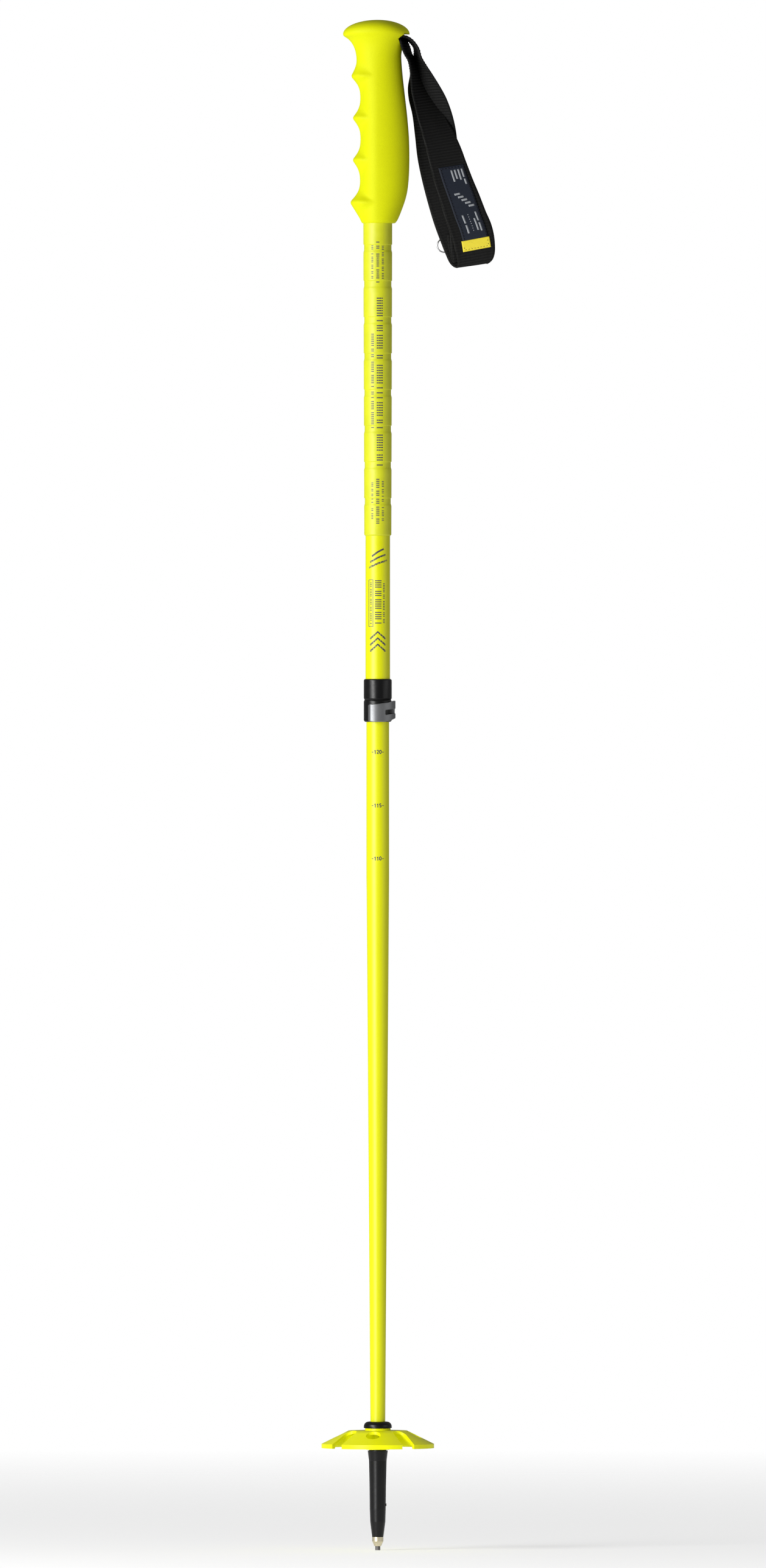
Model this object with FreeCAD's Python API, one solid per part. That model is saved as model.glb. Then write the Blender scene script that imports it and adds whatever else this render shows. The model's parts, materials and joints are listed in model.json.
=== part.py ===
import FreeCAD, Part
import math
import os

# Two-section adjustable ski pole. Millimetres, +Z up along the shaft, origin at the point that meets
# the ground. +X is the side that the wrist strap hangs on, and -Y is the front.

# Overall sizes
UPPER_SECTION = 564.3  # clamp's lower edge to the top of the grip
LOWER_SECTION = 805.0  # tip to the top end of the lower tube
INSERTION = 139.3  # length of lower tube above the clamp's lower edge, as set
POLE_LENGTH = UPPER_SECTION + LOWER_SECTION - INSERTION
CLAMP_Z = POLE_LENGTH - UPPER_SECTION

# Tubes
UPPER_OD = 19.7
UPPER_WALL = 0.65
SLIDE_GAP = 0.09  # radial, lower tube in upper tube
LOWER_OD = UPPER_OD - 2 * UPPER_WALL - 2 * SLIDE_GAP
LOWER_WALL = 0.9
LOWER_END_OD = 11.0
LOWER_START = 34.0  # bottom end of the lower tube, inside the ferrule
STRAIGHT = 264.0  # straight length below the lower tube's top end
TUBE_STOP = 3.0  # collar lip below the upper tube's end
SLIT_WIDTH = 1.4
SLIT_LENGTH = 22.0
PLUG_WALL = 1.2
PLUG_LENGTH = 14.0
PLUG_NECK = 8.0
RING_HEIGHT = 5.0
RING_WALL = 1.5
RING_SPLIT = 1.6

# Tip, ferrule and basket seat
CARBIDE_R = 2.05
CARBIDE_OUT = 3.3
CARBIDE_DEPTH = 5.0
FLUTES = 6
FLUTE_R = 0.45
CUP_R = 4.55
CUP_NOSE_R = 2.75
CUP_STEP = 3.6
CUP_HEIGHT = 7.3
TANG_R = 3.2
TANG_LENGTH = 17.0
FERRULE_WALL = 1.0
FLARE_Z = 80.1
FLARE_OUT = 1.05  # flare beyond the basket seat
SEAT_WALL = 1.04
SEAT_HEIGHT = 18.1
FLANGE_HEIGHT = 5.2
FLANGE_OUT = 4.25
FLANGE_EDGE = 1.3
RIM_TOP_WALL = 1.35
NIB_Z = 36.5

# Basket
BASKET_GAP = 0.06  # radial running clearance on the seat
BASKET_END_GAP = 0.25
HUB_TOP_WALL = 3.3
HUB_LOW_WALL = 2.3
PLATE_R = 23.5
PLATE_DROP = 2.0  # below the flange's underside
BASKET_R = 45.2
RIM_DROP = 12.7
BASKET_T = 2.2
RIM_T = 3.4
RIM_WIDTH = 5.0
BASKET_TURN = -7.0  # middle of the front lobe, in degrees from the front
SLOT_WIDTH = 11.0
SLOT_IN_TURN = 46.0  # inner end of a slot, from the middle of the front or back lobe
SLOT_IN_R = 28.5
SLOT_OUT_TURN = 40.0
LOBE_HOLE_R = 5.8
LOBE_HOLE_AT = 30.0
RIB_T = 1.6
RIB_TURNS = (17.0, 61.0)  # ribs each way from the middle of the front and back lobes

# Clamp
COLLAR_HEIGHT = 34.5
COLLAR_WALL = 1.4
COLLAR_ROUND = 1.3
GROOVE_UP = 17.8
GROOVE_HALF = 1.3
GROOVE_DEEP = 0.65
COLLAR_SPLIT = 2.4
EAR_T = 3.6
EAR_OUT = 8.4
EAR_LOW = 1.6
EAR_HEIGHT = 13.6
LEVER_GAP = 0.5
LEVER_T = 2.5
LEVER_FREE_END = -38.6  # degrees from the front, negative to -X
LEVER_BEVEL = 1.2
LEVER_BEVEL_TURN = 10.0
LEVER_WEB_FROM = 118.0
LEVER_SWING = 150
LEVER_RISE = 3.0  # how much higher the band lies at its side than at the front
LEVER_HEIGHT = 14.6
WINDOW_FROM = 26.0
WINDOW_TO = 108.0
WINDOW_UP = 7.6
WINDOW_HEIGHT = 3.6
WINDOW_RISE = 2.0
WINDOW_BEND = 0.55
WEAR_T = 1.0
CAM_R = 4.1
CAM_GAP = 0.08
BARREL_R = 2.4
SCREW_R = 1.5
SCREW_GAP = 0.06
SCREW_SWING_GAP = 0.9
SCREW_HEAD_R = 2.7
SCREW_HEAD_T = 2.2
HEX_R = 1.3

# Grip and sleeve
GRIP_HEIGHT = 163.5
SLEEVE_LENGTH = 251.2
SLEEVE_IN_GRIP = 6.0
SLEEVE_WALL = 1.05
SLEEVE_GROW = 0.7  # how much thicker the sleeve's wall is at its top
SLEEVE_GROOVES = 8
SLEEVE_PITCH = 29.1
SLEEVE_GROOVE_TOP = 17.1  # first groove's step below the grip
SLEEVE_GROOVE_LENGTH = 6.6
SLEEVE_GROOVE_DEEP = 0.55
RIDGE_BACK = 8.0  # axis of the turned finger ridges, behind the shaft's
RIM_UP = 151.3
SHAFT_TO_TOP = 42.0  # upper tube's end below the top of the grip
CAP_HEIGHT = 7.0

# Wrist strap
STRAP_T = 1.6
STRAP_WIDTH = 32.0
STRAP_SPREAD = 12.0  # outside of the loop, front to back, at its bottom
STRAP_NECK = 6.4  # the same at its top
STRAP_LEAN = 15.8  # degrees from upright
STRAP_LENGTH = 180.0
MOUTH_X = 26.6
MOUTH_DOWN = 20.5  # strap hinge below the top of the grip
POCKET_HALF = 7.6
POCKET_HEIGHT = 11.6
PIN_R = 2.0
PIN_LENGTH = 27.0
PIN_X = 8.0
LABEL_WIDTH = 21.0
LABEL_LENGTH = 61.0
LABEL_T = 0.5
LABEL_UP = 22.0  # label's lower end above the strap's bottom
TAB_WIDTH = 23.0
TAB_LENGTH = 8.4
TAB_T = 0.6
RING_R = 5.5
RING_WIRE = 0.55
RING_GAP = 0.6
RING_UP = 21.8  # ring's middle above the strap's bottom
KEEPER_OUT = 0.3  # keeper beyond the strap's edge
KEEPER_T = 0.8
KEEPER_WIDTH = 5.0
KEEPER_LENGTH = 10.0
KEEPER_SPACE = 3.4
KEEPER_SIDE = 1.75  # ring's hinge line from the keeper's outer wall
SMALL_GAP = 0.3

UPPER_R = UPPER_OD / 2
UPPER_BORE = UPPER_R - UPPER_WALL
LOWER_R = LOWER_OD / 2
LOWER_END_R = LOWER_END_OD / 2
TAPER_TOP = LOWER_SECTION - STRAIGHT
SEAT_TOP = FLARE_Z + SEAT_HEIGHT
FLANGE_TOP = SEAT_TOP + FLANGE_HEIGHT
CUP_TOP = CARBIDE_OUT + CUP_HEIGHT
TUBE_END = CLAMP_Z + TUBE_STOP
COLLAR_R = UPPER_R + COLLAR_WALL
GRIP_Z = POLE_LENGTH - GRIP_HEIGHT
SLEEVE_Z = GRIP_Z - SLEEVE_LENGTH
SHAFT_TOP = POLE_LENGTH - SHAFT_TO_TOP
PIN_Z = POLE_LENGTH - MOUTH_DOWN

Z_AXIS = FreeCAD.Vector(0, 0, 1)
parts = {}


def vec(x, y, z):
    return FreeCAD.Vector(x, y, z)


def keep(name, shape):
    """Record one piece, with its seams merged."""
    parts[name] = shape.removeSplitter()


def turned(points):
    """Solid of revolution about Z of the closed outline of (radius, z) points."""
    wire = Part.makePolygon([vec(r, 0, z) for r, z in points + points[:1]])
    return Part.Face(wire).revolve(vec(0, 0, 0), Z_AXIS, 360)


def tube(outer, inner, low, high):
    return turned([(inner, low), (outer, low), (outer, high), (inner, high)])


def rod(radius, low, high):
    return Part.makeCylinder(radius, high - low, vec(0, 0, low))


def box(low, high):
    size = [b - a for a, b in zip(low, high)]
    return Part.makeBox(*size, vec(*low))


def slab(points, low, high):
    """Upright solid of the closed outline of (x, y) points, from low to high."""
    wire = Part.makePolygon([vec(x, y, low) for x, y in points + points[:1]])
    return Part.Face(wire).extrude(vec(0, 0, high - low))


def front_plate(points, near, far):
    """Solid of the closed outline of (x, z) points, from y = near to y = far."""
    wire = Part.makePolygon([vec(x, near, z) for x, z in points + points[:1]])
    return Part.Face(wire).extrude(vec(0, far - near, 0))


def around(degrees, radius):
    """Point (x, y) at an angle from the front, positive towards +X."""
    angle = math.radians(degrees)
    return radius * math.sin(angle), -radius * math.cos(angle)


def lower_r(z):
    """Outside radius of the lower tube at a height."""
    share = min(1.0, (z - LOWER_START) / (TAPER_TOP - LOWER_START))
    return LOWER_END_R + share * (LOWER_R - LOWER_END_R)


# ---------------------------------------------------------------- lower section
SEAT_R = lower_r(SEAT_TOP) + SEAT_WALL


def make_carbide_tip():
    tip = rod(CARBIDE_R, 0, CARBIDE_OUT + CARBIDE_DEPTH)
    dish = Part.makeCone(CARBIDE_R * 0.72, 0.4, 0.9, vec(0, 0, 0))
    tip = tip.cut(dish)
    for i in range(FLUTES):
        x, y = around(i * 360 / FLUTES, CARBIDE_R + 0.1)
        flute = Part.makeCylinder(FLUTE_R, CARBIDE_OUT - 0.6, vec(x, y, -0.1))
        tip = tip.cut(flute)
    keep("carbide_tip", tip)


def make_tip_holder():
    step = CARBIDE_OUT + CUP_STEP
    holder = turned([
        (0, CARBIDE_OUT + CARBIDE_DEPTH), (CARBIDE_R, CARBIDE_OUT + CARBIDE_DEPTH),
        (CARBIDE_R, CARBIDE_OUT), (CUP_NOSE_R, CARBIDE_OUT), (CUP_R - 0.25, step),
        (CUP_R, step + 0.25), (CUP_R, CUP_TOP), (TANG_R, CUP_TOP),
        (TANG_R, CUP_TOP + TANG_LENGTH), (0, CUP_TOP + TANG_LENGTH),
    ])
    keep("tip_holder", holder)


def make_ferrule():
    nose_r = LOWER_END_R + FERRULE_WALL - 0.4
    outline = [
        (0, CUP_TOP + TANG_LENGTH), (TANG_R, CUP_TOP + TANG_LENGTH), (TANG_R, CUP_TOP),
        (CUP_R, CUP_TOP), (nose_r, CUP_TOP + 12.2), (nose_r + 0.35, LOWER_START - 1),
        (lower_r(50) + FERRULE_WALL, 50), (lower_r(71.8) + FERRULE_WALL + 0.33, 71.8),
        (SEAT_R + FLARE_OUT, FLARE_Z - 0.5), (SEAT_R + FLARE_OUT, FLARE_Z),
        (SEAT_R, FLARE_Z), (SEAT_R, SEAT_TOP),
    ]
    flange_r = SEAT_R + FLANGE_OUT
    outline += [(flange_r, SEAT_TOP), (flange_r, SEAT_TOP + FLANGE_EDGE)]
    top_r = lower_r(FLANGE_TOP) + RIM_TOP_WALL
    for step in range(1, 6):
        angle = math.radians(18 * step)
        outline.append((
            top_r + (flange_r - top_r) * math.cos(angle),
            SEAT_TOP + FLANGE_EDGE + (FLANGE_HEIGHT - FLANGE_EDGE) * math.sin(angle),
        ))
    outline += [(lower_r(FLANGE_TOP), FLANGE_TOP), (LOWER_END_R, LOWER_START), (0, LOWER_START)]
    ferrule = turned(outline)
    reach = lower_r(NIB_Z) + FERRULE_WALL
    nib = box((reach - 0.6, -0.6, NIB_Z - 1), (reach + 0.45, 0.6, NIB_Z + 1))
    keep("ferrule", ferrule.fuse(nib))


def make_lower_shaft():
    keep("lower_shaft", turned([
        (LOWER_END_R - LOWER_WALL, LOWER_START), (LOWER_END_R, LOWER_START),
        (LOWER_R, TAPER_TOP), (LOWER_R, LOWER_SECTION),
        (LOWER_R - LOWER_WALL, LOWER_SECTION), (LOWER_R - LOWER_WALL, TAPER_TOP),
    ]))


def make_lower_plug():
    """Cap in the lower tube's end, whose neck carries the guide ring between two shoulders."""
    inside = LOWER_R - LOWER_WALL
    neck_r = LOWER_R - RING_WALL - 0.05
    top = LOWER_SECTION + 1.0
    low = LOWER_SECTION - PLUG_LENGTH
    body = turned([
        (inside - PLUG_WALL, low), (inside, low), (inside, LOWER_SECTION),
        (LOWER_R, LOWER_SECTION), (LOWER_R, top), (neck_r, top),
        (neck_r, top + PLUG_NECK - 2.0), (LOWER_R, top + PLUG_NECK - 2.0),
        (LOWER_R - 1.0, top + PLUG_NECK), (0, top + PLUG_NECK),
        (0, LOWER_SECTION - 2), (inside - PLUG_WALL, LOWER_SECTION - 2),
    ])
    keep("lower_shaft_plug", body)


def make_guide_ring():
    low = LOWER_SECTION + 1.0 + 0.5
    ring = tube(UPPER_BORE - SLIDE_GAP / 2, LOWER_R - RING_WALL, low, low + RING_HEIGHT)
    split = box((-RING_SPLIT / 2, 0, low - 1), (RING_SPLIT / 2, UPPER_R, low + RING_HEIGHT + 1))
    keep("guide_ring", ring.cut(split))


# ---------------------------------------------------------------- basket
def slot_cutter(in_turn, out_turn, low):
    """Round-ended slot from inside the skirt out through the rim."""
    half = SLOT_WIDTH / 2
    x, y = around(in_turn, SLOT_IN_R)
    out_x, out_y = around(out_turn, BASKET_R)
    run = math.hypot(out_x - x, out_y - y) + SLOT_WIDTH
    cutter = Part.makeCylinder(half, 40, vec(0, 0, low))
    cutter = cutter.fuse(box((0, -half, low), (run, half, low + 40)))
    cutter.rotate(vec(0, 0, 0), Z_AXIS, math.degrees(math.atan2(out_y - y, out_x - x)))
    cutter.translate(vec(x, y, 0))
    return cutter


def make_basket():
    """Two wide and two narrow lobes with open slots between, a thick rim, and a hub that turns on the seat."""
    plate_z = SEAT_TOP - PLATE_DROP
    rim_z = SEAT_TOP - RIM_DROP
    bore = SEAT_R + BASKET_GAP
    top = SEAT_TOP - BASKET_END_GAP
    bottom = FLARE_Z + 0.7
    slope = (plate_z - rim_z) / (BASKET_R - PLATE_R)
    rim_in = BASKET_R - RIM_WIDTH
    rim_under = rim_z + slope * RIM_WIDTH - BASKET_T
    basket = turned([
        (bore, bottom), (bore + HUB_LOW_WALL, bottom), (bore + HUB_LOW_WALL, plate_z - BASKET_T),
        (PLATE_R - 0.5, plate_z - BASKET_T), (rim_in, rim_under), (rim_in + 1.5, rim_z - RIM_T),
        (BASKET_R, rim_z - RIM_T), (BASKET_R, rim_z), (PLATE_R, plate_z),
        (bore + HUB_TOP_WALL, plate_z), (bore + HUB_TOP_WALL, top), (bore, top),
    ])
    under = [
        (bore + 1.0, bottom + 2.5), (PLATE_R, rim_z - 1.0), (rim_in + 1.0, rim_z - 1.0),
        (rim_in + 1.0, rim_under + 0.5), (PLATE_R, plate_z - BASKET_T + 0.5), (bore + 1.0, plate_z - 1.0),
    ]
    deep = FLARE_Z - 20
    for end in (0, 180):
        for side in (-1, 1):
            for turn in RIB_TURNS:
                rib = front_plate(under, -RIB_T / 2, RIB_T / 2)
                rib.rotate(vec(0, 0, 0), Z_AXIS, BASKET_TURN - 90 + end + side * turn)
                basket = basket.fuse(rib)
    for end in (0, 180):
        hole_turns = (BASKET_TURN + end, BASKET_TURN + end + 90)
        for turn in hole_turns:
            x, y = around(turn, LOBE_HOLE_AT)
            basket = basket.cut(Part.makeCylinder(LOBE_HOLE_R, 40, vec(x, y, deep)))
        for side in (-1, 1):
            middle = BASKET_TURN + end
            basket = basket.cut(slot_cutter(middle + side * SLOT_IN_TURN, middle + side * SLOT_OUT_TURN, deep))
    keep("basket", basket)


# ---------------------------------------------------------------- clamp
EAR_BACK = COLLAR_R + EAR_OUT
SCREW_Y = COLLAR_R + 4.1
SCREW_Z = CLAMP_Z + EAR_LOW + EAR_HEIGHT / 2
EAR_FACE = COLLAR_SPLIT / 2 + EAR_T
PIVOT_X = EAR_FACE + WEAR_T + CAM_GAP + CAM_R
LEVER_IN = COLLAR_R + LEVER_GAP
LEVER_OUT = LEVER_IN + LEVER_T


def make_upper_shaft():
    shaft = tube(UPPER_R, UPPER_BORE, TUBE_END, SHAFT_TOP)
    slit = box((-SLIT_WIDTH / 2, -UPPER_R - 1, TUBE_END - 1),
               (SLIT_WIDTH / 2, UPPER_R + 1, TUBE_END + SLIT_LENGTH))
    keep("upper_shaft", shaft.cut(slit))


def make_collar():
    low = CLAMP_Z
    high = CLAMP_Z + COLLAR_HEIGHT
    groove = CLAMP_Z + GROOVE_UP
    lip_r = LOWER_R + SLIDE_GAP
    round_off = COLLAR_ROUND
    collar = turned([
        (lip_r, low), (COLLAR_R - round_off, low), (COLLAR_R - 0.4 * round_off, low + 0.4 * round_off),
        (COLLAR_R, low + round_off), (COLLAR_R, groove - GROOVE_HALF), (COLLAR_R - GROOVE_DEEP, groove),
        (COLLAR_R, groove + GROOVE_HALF), (COLLAR_R, high - round_off * 0.9),
        (COLLAR_R - 0.3 * round_off, high - 0.25 * round_off), (COLLAR_R - 0.9 * round_off, high),
        (UPPER_R, high), (UPPER_R, TUBE_END), (lip_r, TUBE_END),
    ])
    ear_z = CLAMP_Z + EAR_LOW
    ears = box((-EAR_FACE, UPPER_R + 0.3, ear_z), (EAR_FACE, EAR_BACK, ear_z + EAR_HEIGHT))
    upright = [e for e in ears.Edges if e.BoundBox.ZLength > EAR_HEIGHT / 2 and e.BoundBox.YMin > EAR_BACK - 1]
    ears = ears.makeFillet(1.8, upright)
    collar = collar.fuse(ears)
    split = box((-COLLAR_SPLIT / 2, 0, low - 1), (COLLAR_SPLIT / 2, EAR_BACK + 1, ear_z + EAR_HEIGHT + 2))
    hole = Part.makeCylinder(SCREW_R + SCREW_GAP, 2 * EAR_FACE + 2, vec(-EAR_FACE - 1, SCREW_Y, SCREW_Z), vec(1, 0, 0))
    keep("clamp_collar", collar.cut(split).cut(hole))


def make_wear_plate():
    half = EAR_HEIGHT / 2 - 0.6
    plate = box((EAR_FACE, SCREW_Y - 3.4, SCREW_Z - half), (EAR_FACE + WEAR_T, SCREW_Y + 3.4, SCREW_Z + half))
    hole = Part.makeCylinder(SCREW_R + SCREW_GAP, 4, vec(EAR_FACE - 1, SCREW_Y, SCREW_Z), vec(1, 0, 0))
    keep("cam_wear_plate", plate.cut(hole))


def make_screw():
    start = -EAR_FACE - SCREW_HEAD_T
    head = Part.makeCylinder(SCREW_HEAD_R, SCREW_HEAD_T - 0.02, vec(start, SCREW_Y, SCREW_Z), vec(1, 0, 0))
    crown = [e for e in head.Edges if e.BoundBox.XMax < start + 0.1]
    head = head.makeFillet(0.5, crown)
    shank = Part.makeCylinder(SCREW_R, PIVOT_X + BARREL_R * 0.5 - start, vec(start, SCREW_Y, SCREW_Z), vec(1, 0, 0))
    socket = Part.makePolygon([
        vec(start - 0.1, SCREW_Y + HEX_R * math.cos(math.radians(60 * i)),
            SCREW_Z + HEX_R * math.sin(math.radians(60 * i)))
        for i in range(7)
    ])
    socket = Part.Face(socket).extrude(vec(1.5, 0, 0))
    keep("tension_screw", head.fuse(shank).cut(socket))


def make_barrel_nut():
    half = EAR_HEIGHT / 2 - 0.4
    nut = Part.makeCylinder(BARREL_R, 2 * half, vec(PIVOT_X, SCREW_Y, SCREW_Z - half))
    hole = Part.makeCylinder(SCREW_R + SCREW_GAP, 12, vec(PIVOT_X - 6, SCREW_Y, SCREW_Z), vec(1, 0, 0))
    keep("barrel_nut", nut.cut(hole))


def sector(outer, inner, start, end, low, high):
    """Part of a ring about Z, from one angle to another, measured from the front towards +X."""
    wedge = Part.makeCylinder(outer, high - low, vec(0, 0, low), Z_AXIS, end - start)
    wedge.rotate(vec(0, 0, 0), Z_AXIS, start - 90)
    return wedge.cut(rod(inner, low - 1, high + 1))


def make_lever():
    """Cam lever: a band round the collar, a web, and a cam drum in two cheeks on the barrel nut."""
    low = CLAMP_Z - 1
    high = CLAMP_Z + 30
    band = sector(LEVER_OUT, LEVER_IN, LEVER_FREE_END, LEVER_WEB_FROM, low, high)
    bevel = slab([
        around(LEVER_FREE_END - 1, LEVER_OUT + 0.6), around(LEVER_FREE_END + LEVER_BEVEL_TURN, LEVER_OUT + 0.01),
        around(LEVER_FREE_END - 1, LEVER_OUT - LEVER_BEVEL),
    ], low - 1, high + 1)
    web = slab([
        around(LEVER_WEB_FROM - 4, LEVER_IN + 0.1), around(LEVER_WEB_FROM - 4, LEVER_OUT - 0.05),
        (PIVOT_X + CAM_R, SCREW_Y + 0.6), (PIVOT_X - 1.0, SCREW_Y - 2.0),
    ], low, high)
    cam = Part.makeCylinder(CAM_R, high - low, vec(PIVOT_X, SCREW_Y, low))
    lever = band.cut(bevel).fuse(web).fuse(cam)
    top = CLAMP_Z + LEVER_HEIGHT
    far = LEVER_OUT + 6
    side = [
        (-far, CLAMP_Z + 1.4), (-0.85 * COLLAR_R, CLAMP_Z + 0.7), (-0.4 * COLLAR_R, CLAMP_Z),
        (0.5 * COLLAR_R, CLAMP_Z), (0.9 * COLLAR_R, CLAMP_Z + 0.35 * LEVER_RISE),
        (LEVER_OUT, CLAMP_Z + LEVER_RISE), (far, CLAMP_Z + LEVER_RISE), (far, top + 0.85 * LEVER_RISE),
        (LEVER_OUT - 2, top + 0.8 * LEVER_RISE), (0.8 * COLLAR_R, top + 0.4 * LEVER_RISE),
        (0.1 * COLLAR_R, top), (-0.6 * COLLAR_R, top - 0.5), (-0.85 * COLLAR_R, top - 1.2), (-far, top - 5.0),
    ]
    lever = lever.common(front_plate(side, -2 * far, 2 * far))
    middle = CLAMP_Z + WINDOW_UP
    half = WINDOW_HEIGHT / 2
    window_side = [
        (0, middle - half), (WINDOW_BEND * COLLAR_R, middle - half),
        (far, middle + WINDOW_RISE - half), (far, middle + WINDOW_RISE + half),
        (WINDOW_BEND * COLLAR_R, middle + half), (0, middle + half),
    ]
    window = sector(LEVER_OUT + 1, LEVER_IN - 0.2, WINDOW_FROM, WINDOW_TO, low, high)
    lever = lever.cut(window.common(front_plate(window_side, -2 * far, 2 * far)))
    lever = lever.cut(Part.makeCylinder(BARREL_R + SCREW_GAP, 60, vec(PIVOT_X, SCREW_Y, low)))
    reach = PIVOT_X - EAR_FACE + BARREL_R
    arm_r = SCREW_R + SCREW_SWING_GAP
    for angle in range(0, LEVER_SWING + 1, 15):
        arm = Part.makeCylinder(arm_r, 2 * reach, vec(PIVOT_X - 2 * reach, SCREW_Y, SCREW_Z), vec(1, 0, 0))
        arm.rotate(vec(PIVOT_X, SCREW_Y, SCREW_Z), Z_AXIS, -angle)
        lever = lever.cut(arm)
    lever = lever.cut(Part.makeCylinder(arm_r, 2 * reach, vec(PIVOT_X, SCREW_Y, SCREW_Z), vec(1, 0, 0)))
    keep("clamp_lever", lever)


# ---------------------------------------------------------------- grip
def make_sleeve():
    """Rubber sleeve with ring grooves: a sharp upper step and a ramp below it."""
    top = GRIP_Z + SLEEVE_IN_GRIP

    def outside(z):
        share = (z - SLEEVE_Z) / (GRIP_Z - SLEEVE_Z)
        return UPPER_R + SLEEVE_WALL + SLEEVE_GROW * min(1.0, share)

    outline = [(UPPER_R, SLEEVE_Z), (outside(SLEEVE_Z) - 0.8, SLEEVE_Z), (outside(SLEEVE_Z), SLEEVE_Z + 0.9)]
    for i in reversed(range(SLEEVE_GROOVES)):
        step = GRIP_Z - SLEEVE_GROOVE_TOP - i * SLEEVE_PITCH
        start = step - SLEEVE_GROOVE_LENGTH
        deep = outside(step) - SLEEVE_GROOVE_DEEP
        outline += [(outside(start), start), (deep, start + 2.2), (deep, step - 0.25), (outside(step), step)]
    outline += [(outside(top), top), (UPPER_R, top)]
    keep("grip_sleeve", turned(outline))


def oval(z, left, right, half):
    """Closed smooth section at a height, from -left to right in X and half each way in Y."""
    points = []
    count = 24
    for i in range(count):
        angle = 2 * math.pi * i / count
        reach = right if math.cos(angle) > 0 else left
        points.append(vec(reach * math.cos(angle), half * math.sin(angle), z))
    curve = Part.BSplineCurve()
    curve.interpolate(Points=points, PeriodicFlag=True)
    return Part.Wire(curve.toShape())


# height above the grip's bottom, then how far the surface stands off the tube to -X, +X and +-Y
GRIP_SECTIONS = [
    (0.0, 2.6, 4.3, 2.8), (2.6, 3.2, 6.4, 3.5), (11.0, 3.7, 10.0, 4.6), (20.0, 3.8, 12.9, 5.2),
    (30.0, 3.7, 14.8, 5.7), (45.0, 3.6, 15.5, 6.2), (65.0, 3.6, 15.4, 6.2), (84.0, 3.7, 14.1, 5.8),
    (101.0, 3.9, 12.1, 5.3), (117.0, 5.0, 10.3, 4.8), (134.0, 6.6, 9.0, 4.8), (142.0, 9.0, 9.8, 6.2),
    (148.0, 14.0, 12.6, 9.2), (RIM_UP, 18.0, 15.5, 11.8),
]
# finger ridges: height above the grip's bottom and stand-off from the tube, tips and hollows in turn
RIDGES = [(16.6, 12.4), (34.7, 4.3), (50.4, 10.4), (68.0, 3.7), (84.1, 10.4), (100.3, 3.9), (117.6, 11.6)]
DOME_STEPS = 6


def grip_body():
    rows = [oval(GRIP_Z + up, UPPER_R + left, UPPER_R + right, UPPER_R + half)
            for up, left, right, half in GRIP_SECTIONS]
    return Part.makeLoft(rows, True, False)


def grip_dome():
    """Rounded head on the rim, an ellipse in every upright section."""
    up, left, right, half = GRIP_SECTIONS[-1]
    rim_z = GRIP_Z + up
    height = GRIP_HEIGHT - RIM_UP
    rows = []
    for i in range(DOME_STEPS + 1):
        angle = math.radians(84 * i / DOME_STEPS)
        share = math.cos(angle)
        rows.append(oval(rim_z + height * math.sin(angle) / math.sin(math.radians(84)),
                         (UPPER_R + left) * share, (UPPER_R + right) * share, (UPPER_R + half) * share))
    return Part.makeLoft(rows, True, False)


def ridge_column():
    """Finger ridges on the -X side, turned about an axis behind the shaft, with hollows as arcs."""
    axis = vec(-RIDGE_BACK, 0, 0)
    points = [vec(-UPPER_R - off, 0, GRIP_Z + up) for up, off in RIDGES]
    low = vec(-UPPER_R - 1.0, 0, GRIP_Z + 1.5)
    high = vec(-UPPER_R - 5.0, 0, GRIP_Z + RIDGES[-1][0] + 11)
    edges = [Part.makeLine(vec(-RIDGE_BACK, 0, low.z), low), Part.makeLine(low, points[0])]
    for tip, hollow, after in zip(points[0:-2:2], points[1:-1:2], points[2::2]):
        edges.append(Part.Arc(tip, hollow, after).toShape())
    edges.append(Part.makeLine(points[-1], high))
    edges.append(Part.makeLine(high, vec(-RIDGE_BACK, 0, high.z)))
    edges.append(Part.makeLine(vec(-RIDGE_BACK, 0, high.z), vec(-RIDGE_BACK, 0, low.z)))
    return Part.Face(Part.Wire(edges)).revolve(axis, Z_AXIS, 360)


def make_grip():
    grip = grip_body().fuse(grip_dome()).fuse(ridge_column())
    sleeve_r = UPPER_R + SLEEVE_WALL + SLEEVE_GROW
    grip = grip.cut(rod(sleeve_r, GRIP_Z - 1, GRIP_Z + SLEEVE_IN_GRIP))
    grip = grip.cut(rod(UPPER_R, GRIP_Z - 1, SHAFT_TOP + CAP_HEIGHT / 2))
    pocket_z = PIN_Z - POCKET_HEIGHT / 2
    pocket = box((PIN_X - 5.5, -POCKET_HALF, pocket_z), (60, POCKET_HALF, pocket_z + POCKET_HEIGHT))
    pin_hole = Part.makeCylinder(PIN_R, PIN_LENGTH, vec(PIN_X, -PIN_LENGTH / 2, PIN_Z), vec(0, 1, 0))
    keep("grip", grip.cut(pocket).cut(pin_hole))


def make_top_plug():
    inside = UPPER_BORE
    cap = turned([
        (inside - 2.0, SHAFT_TOP - 12), (inside, SHAFT_TOP - 12), (inside, SHAFT_TOP),
        (UPPER_R, SHAFT_TOP), (UPPER_R, SHAFT_TOP + CAP_HEIGHT / 2), (0, SHAFT_TOP + CAP_HEIGHT / 2),
        (0, SHAFT_TOP - 2), (inside - 2.0, SHAFT_TOP - 2),
    ])
    keep("upper_shaft_plug", cap)


# ---------------------------------------------------------------- wrist strap


def make_strap_pin():
    keep("strap_pin", Part.makeCylinder(PIN_R, PIN_LENGTH, vec(PIN_X, -PIN_LENGTH / 2, PIN_Z), vec(0, 1, 0)))


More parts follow.
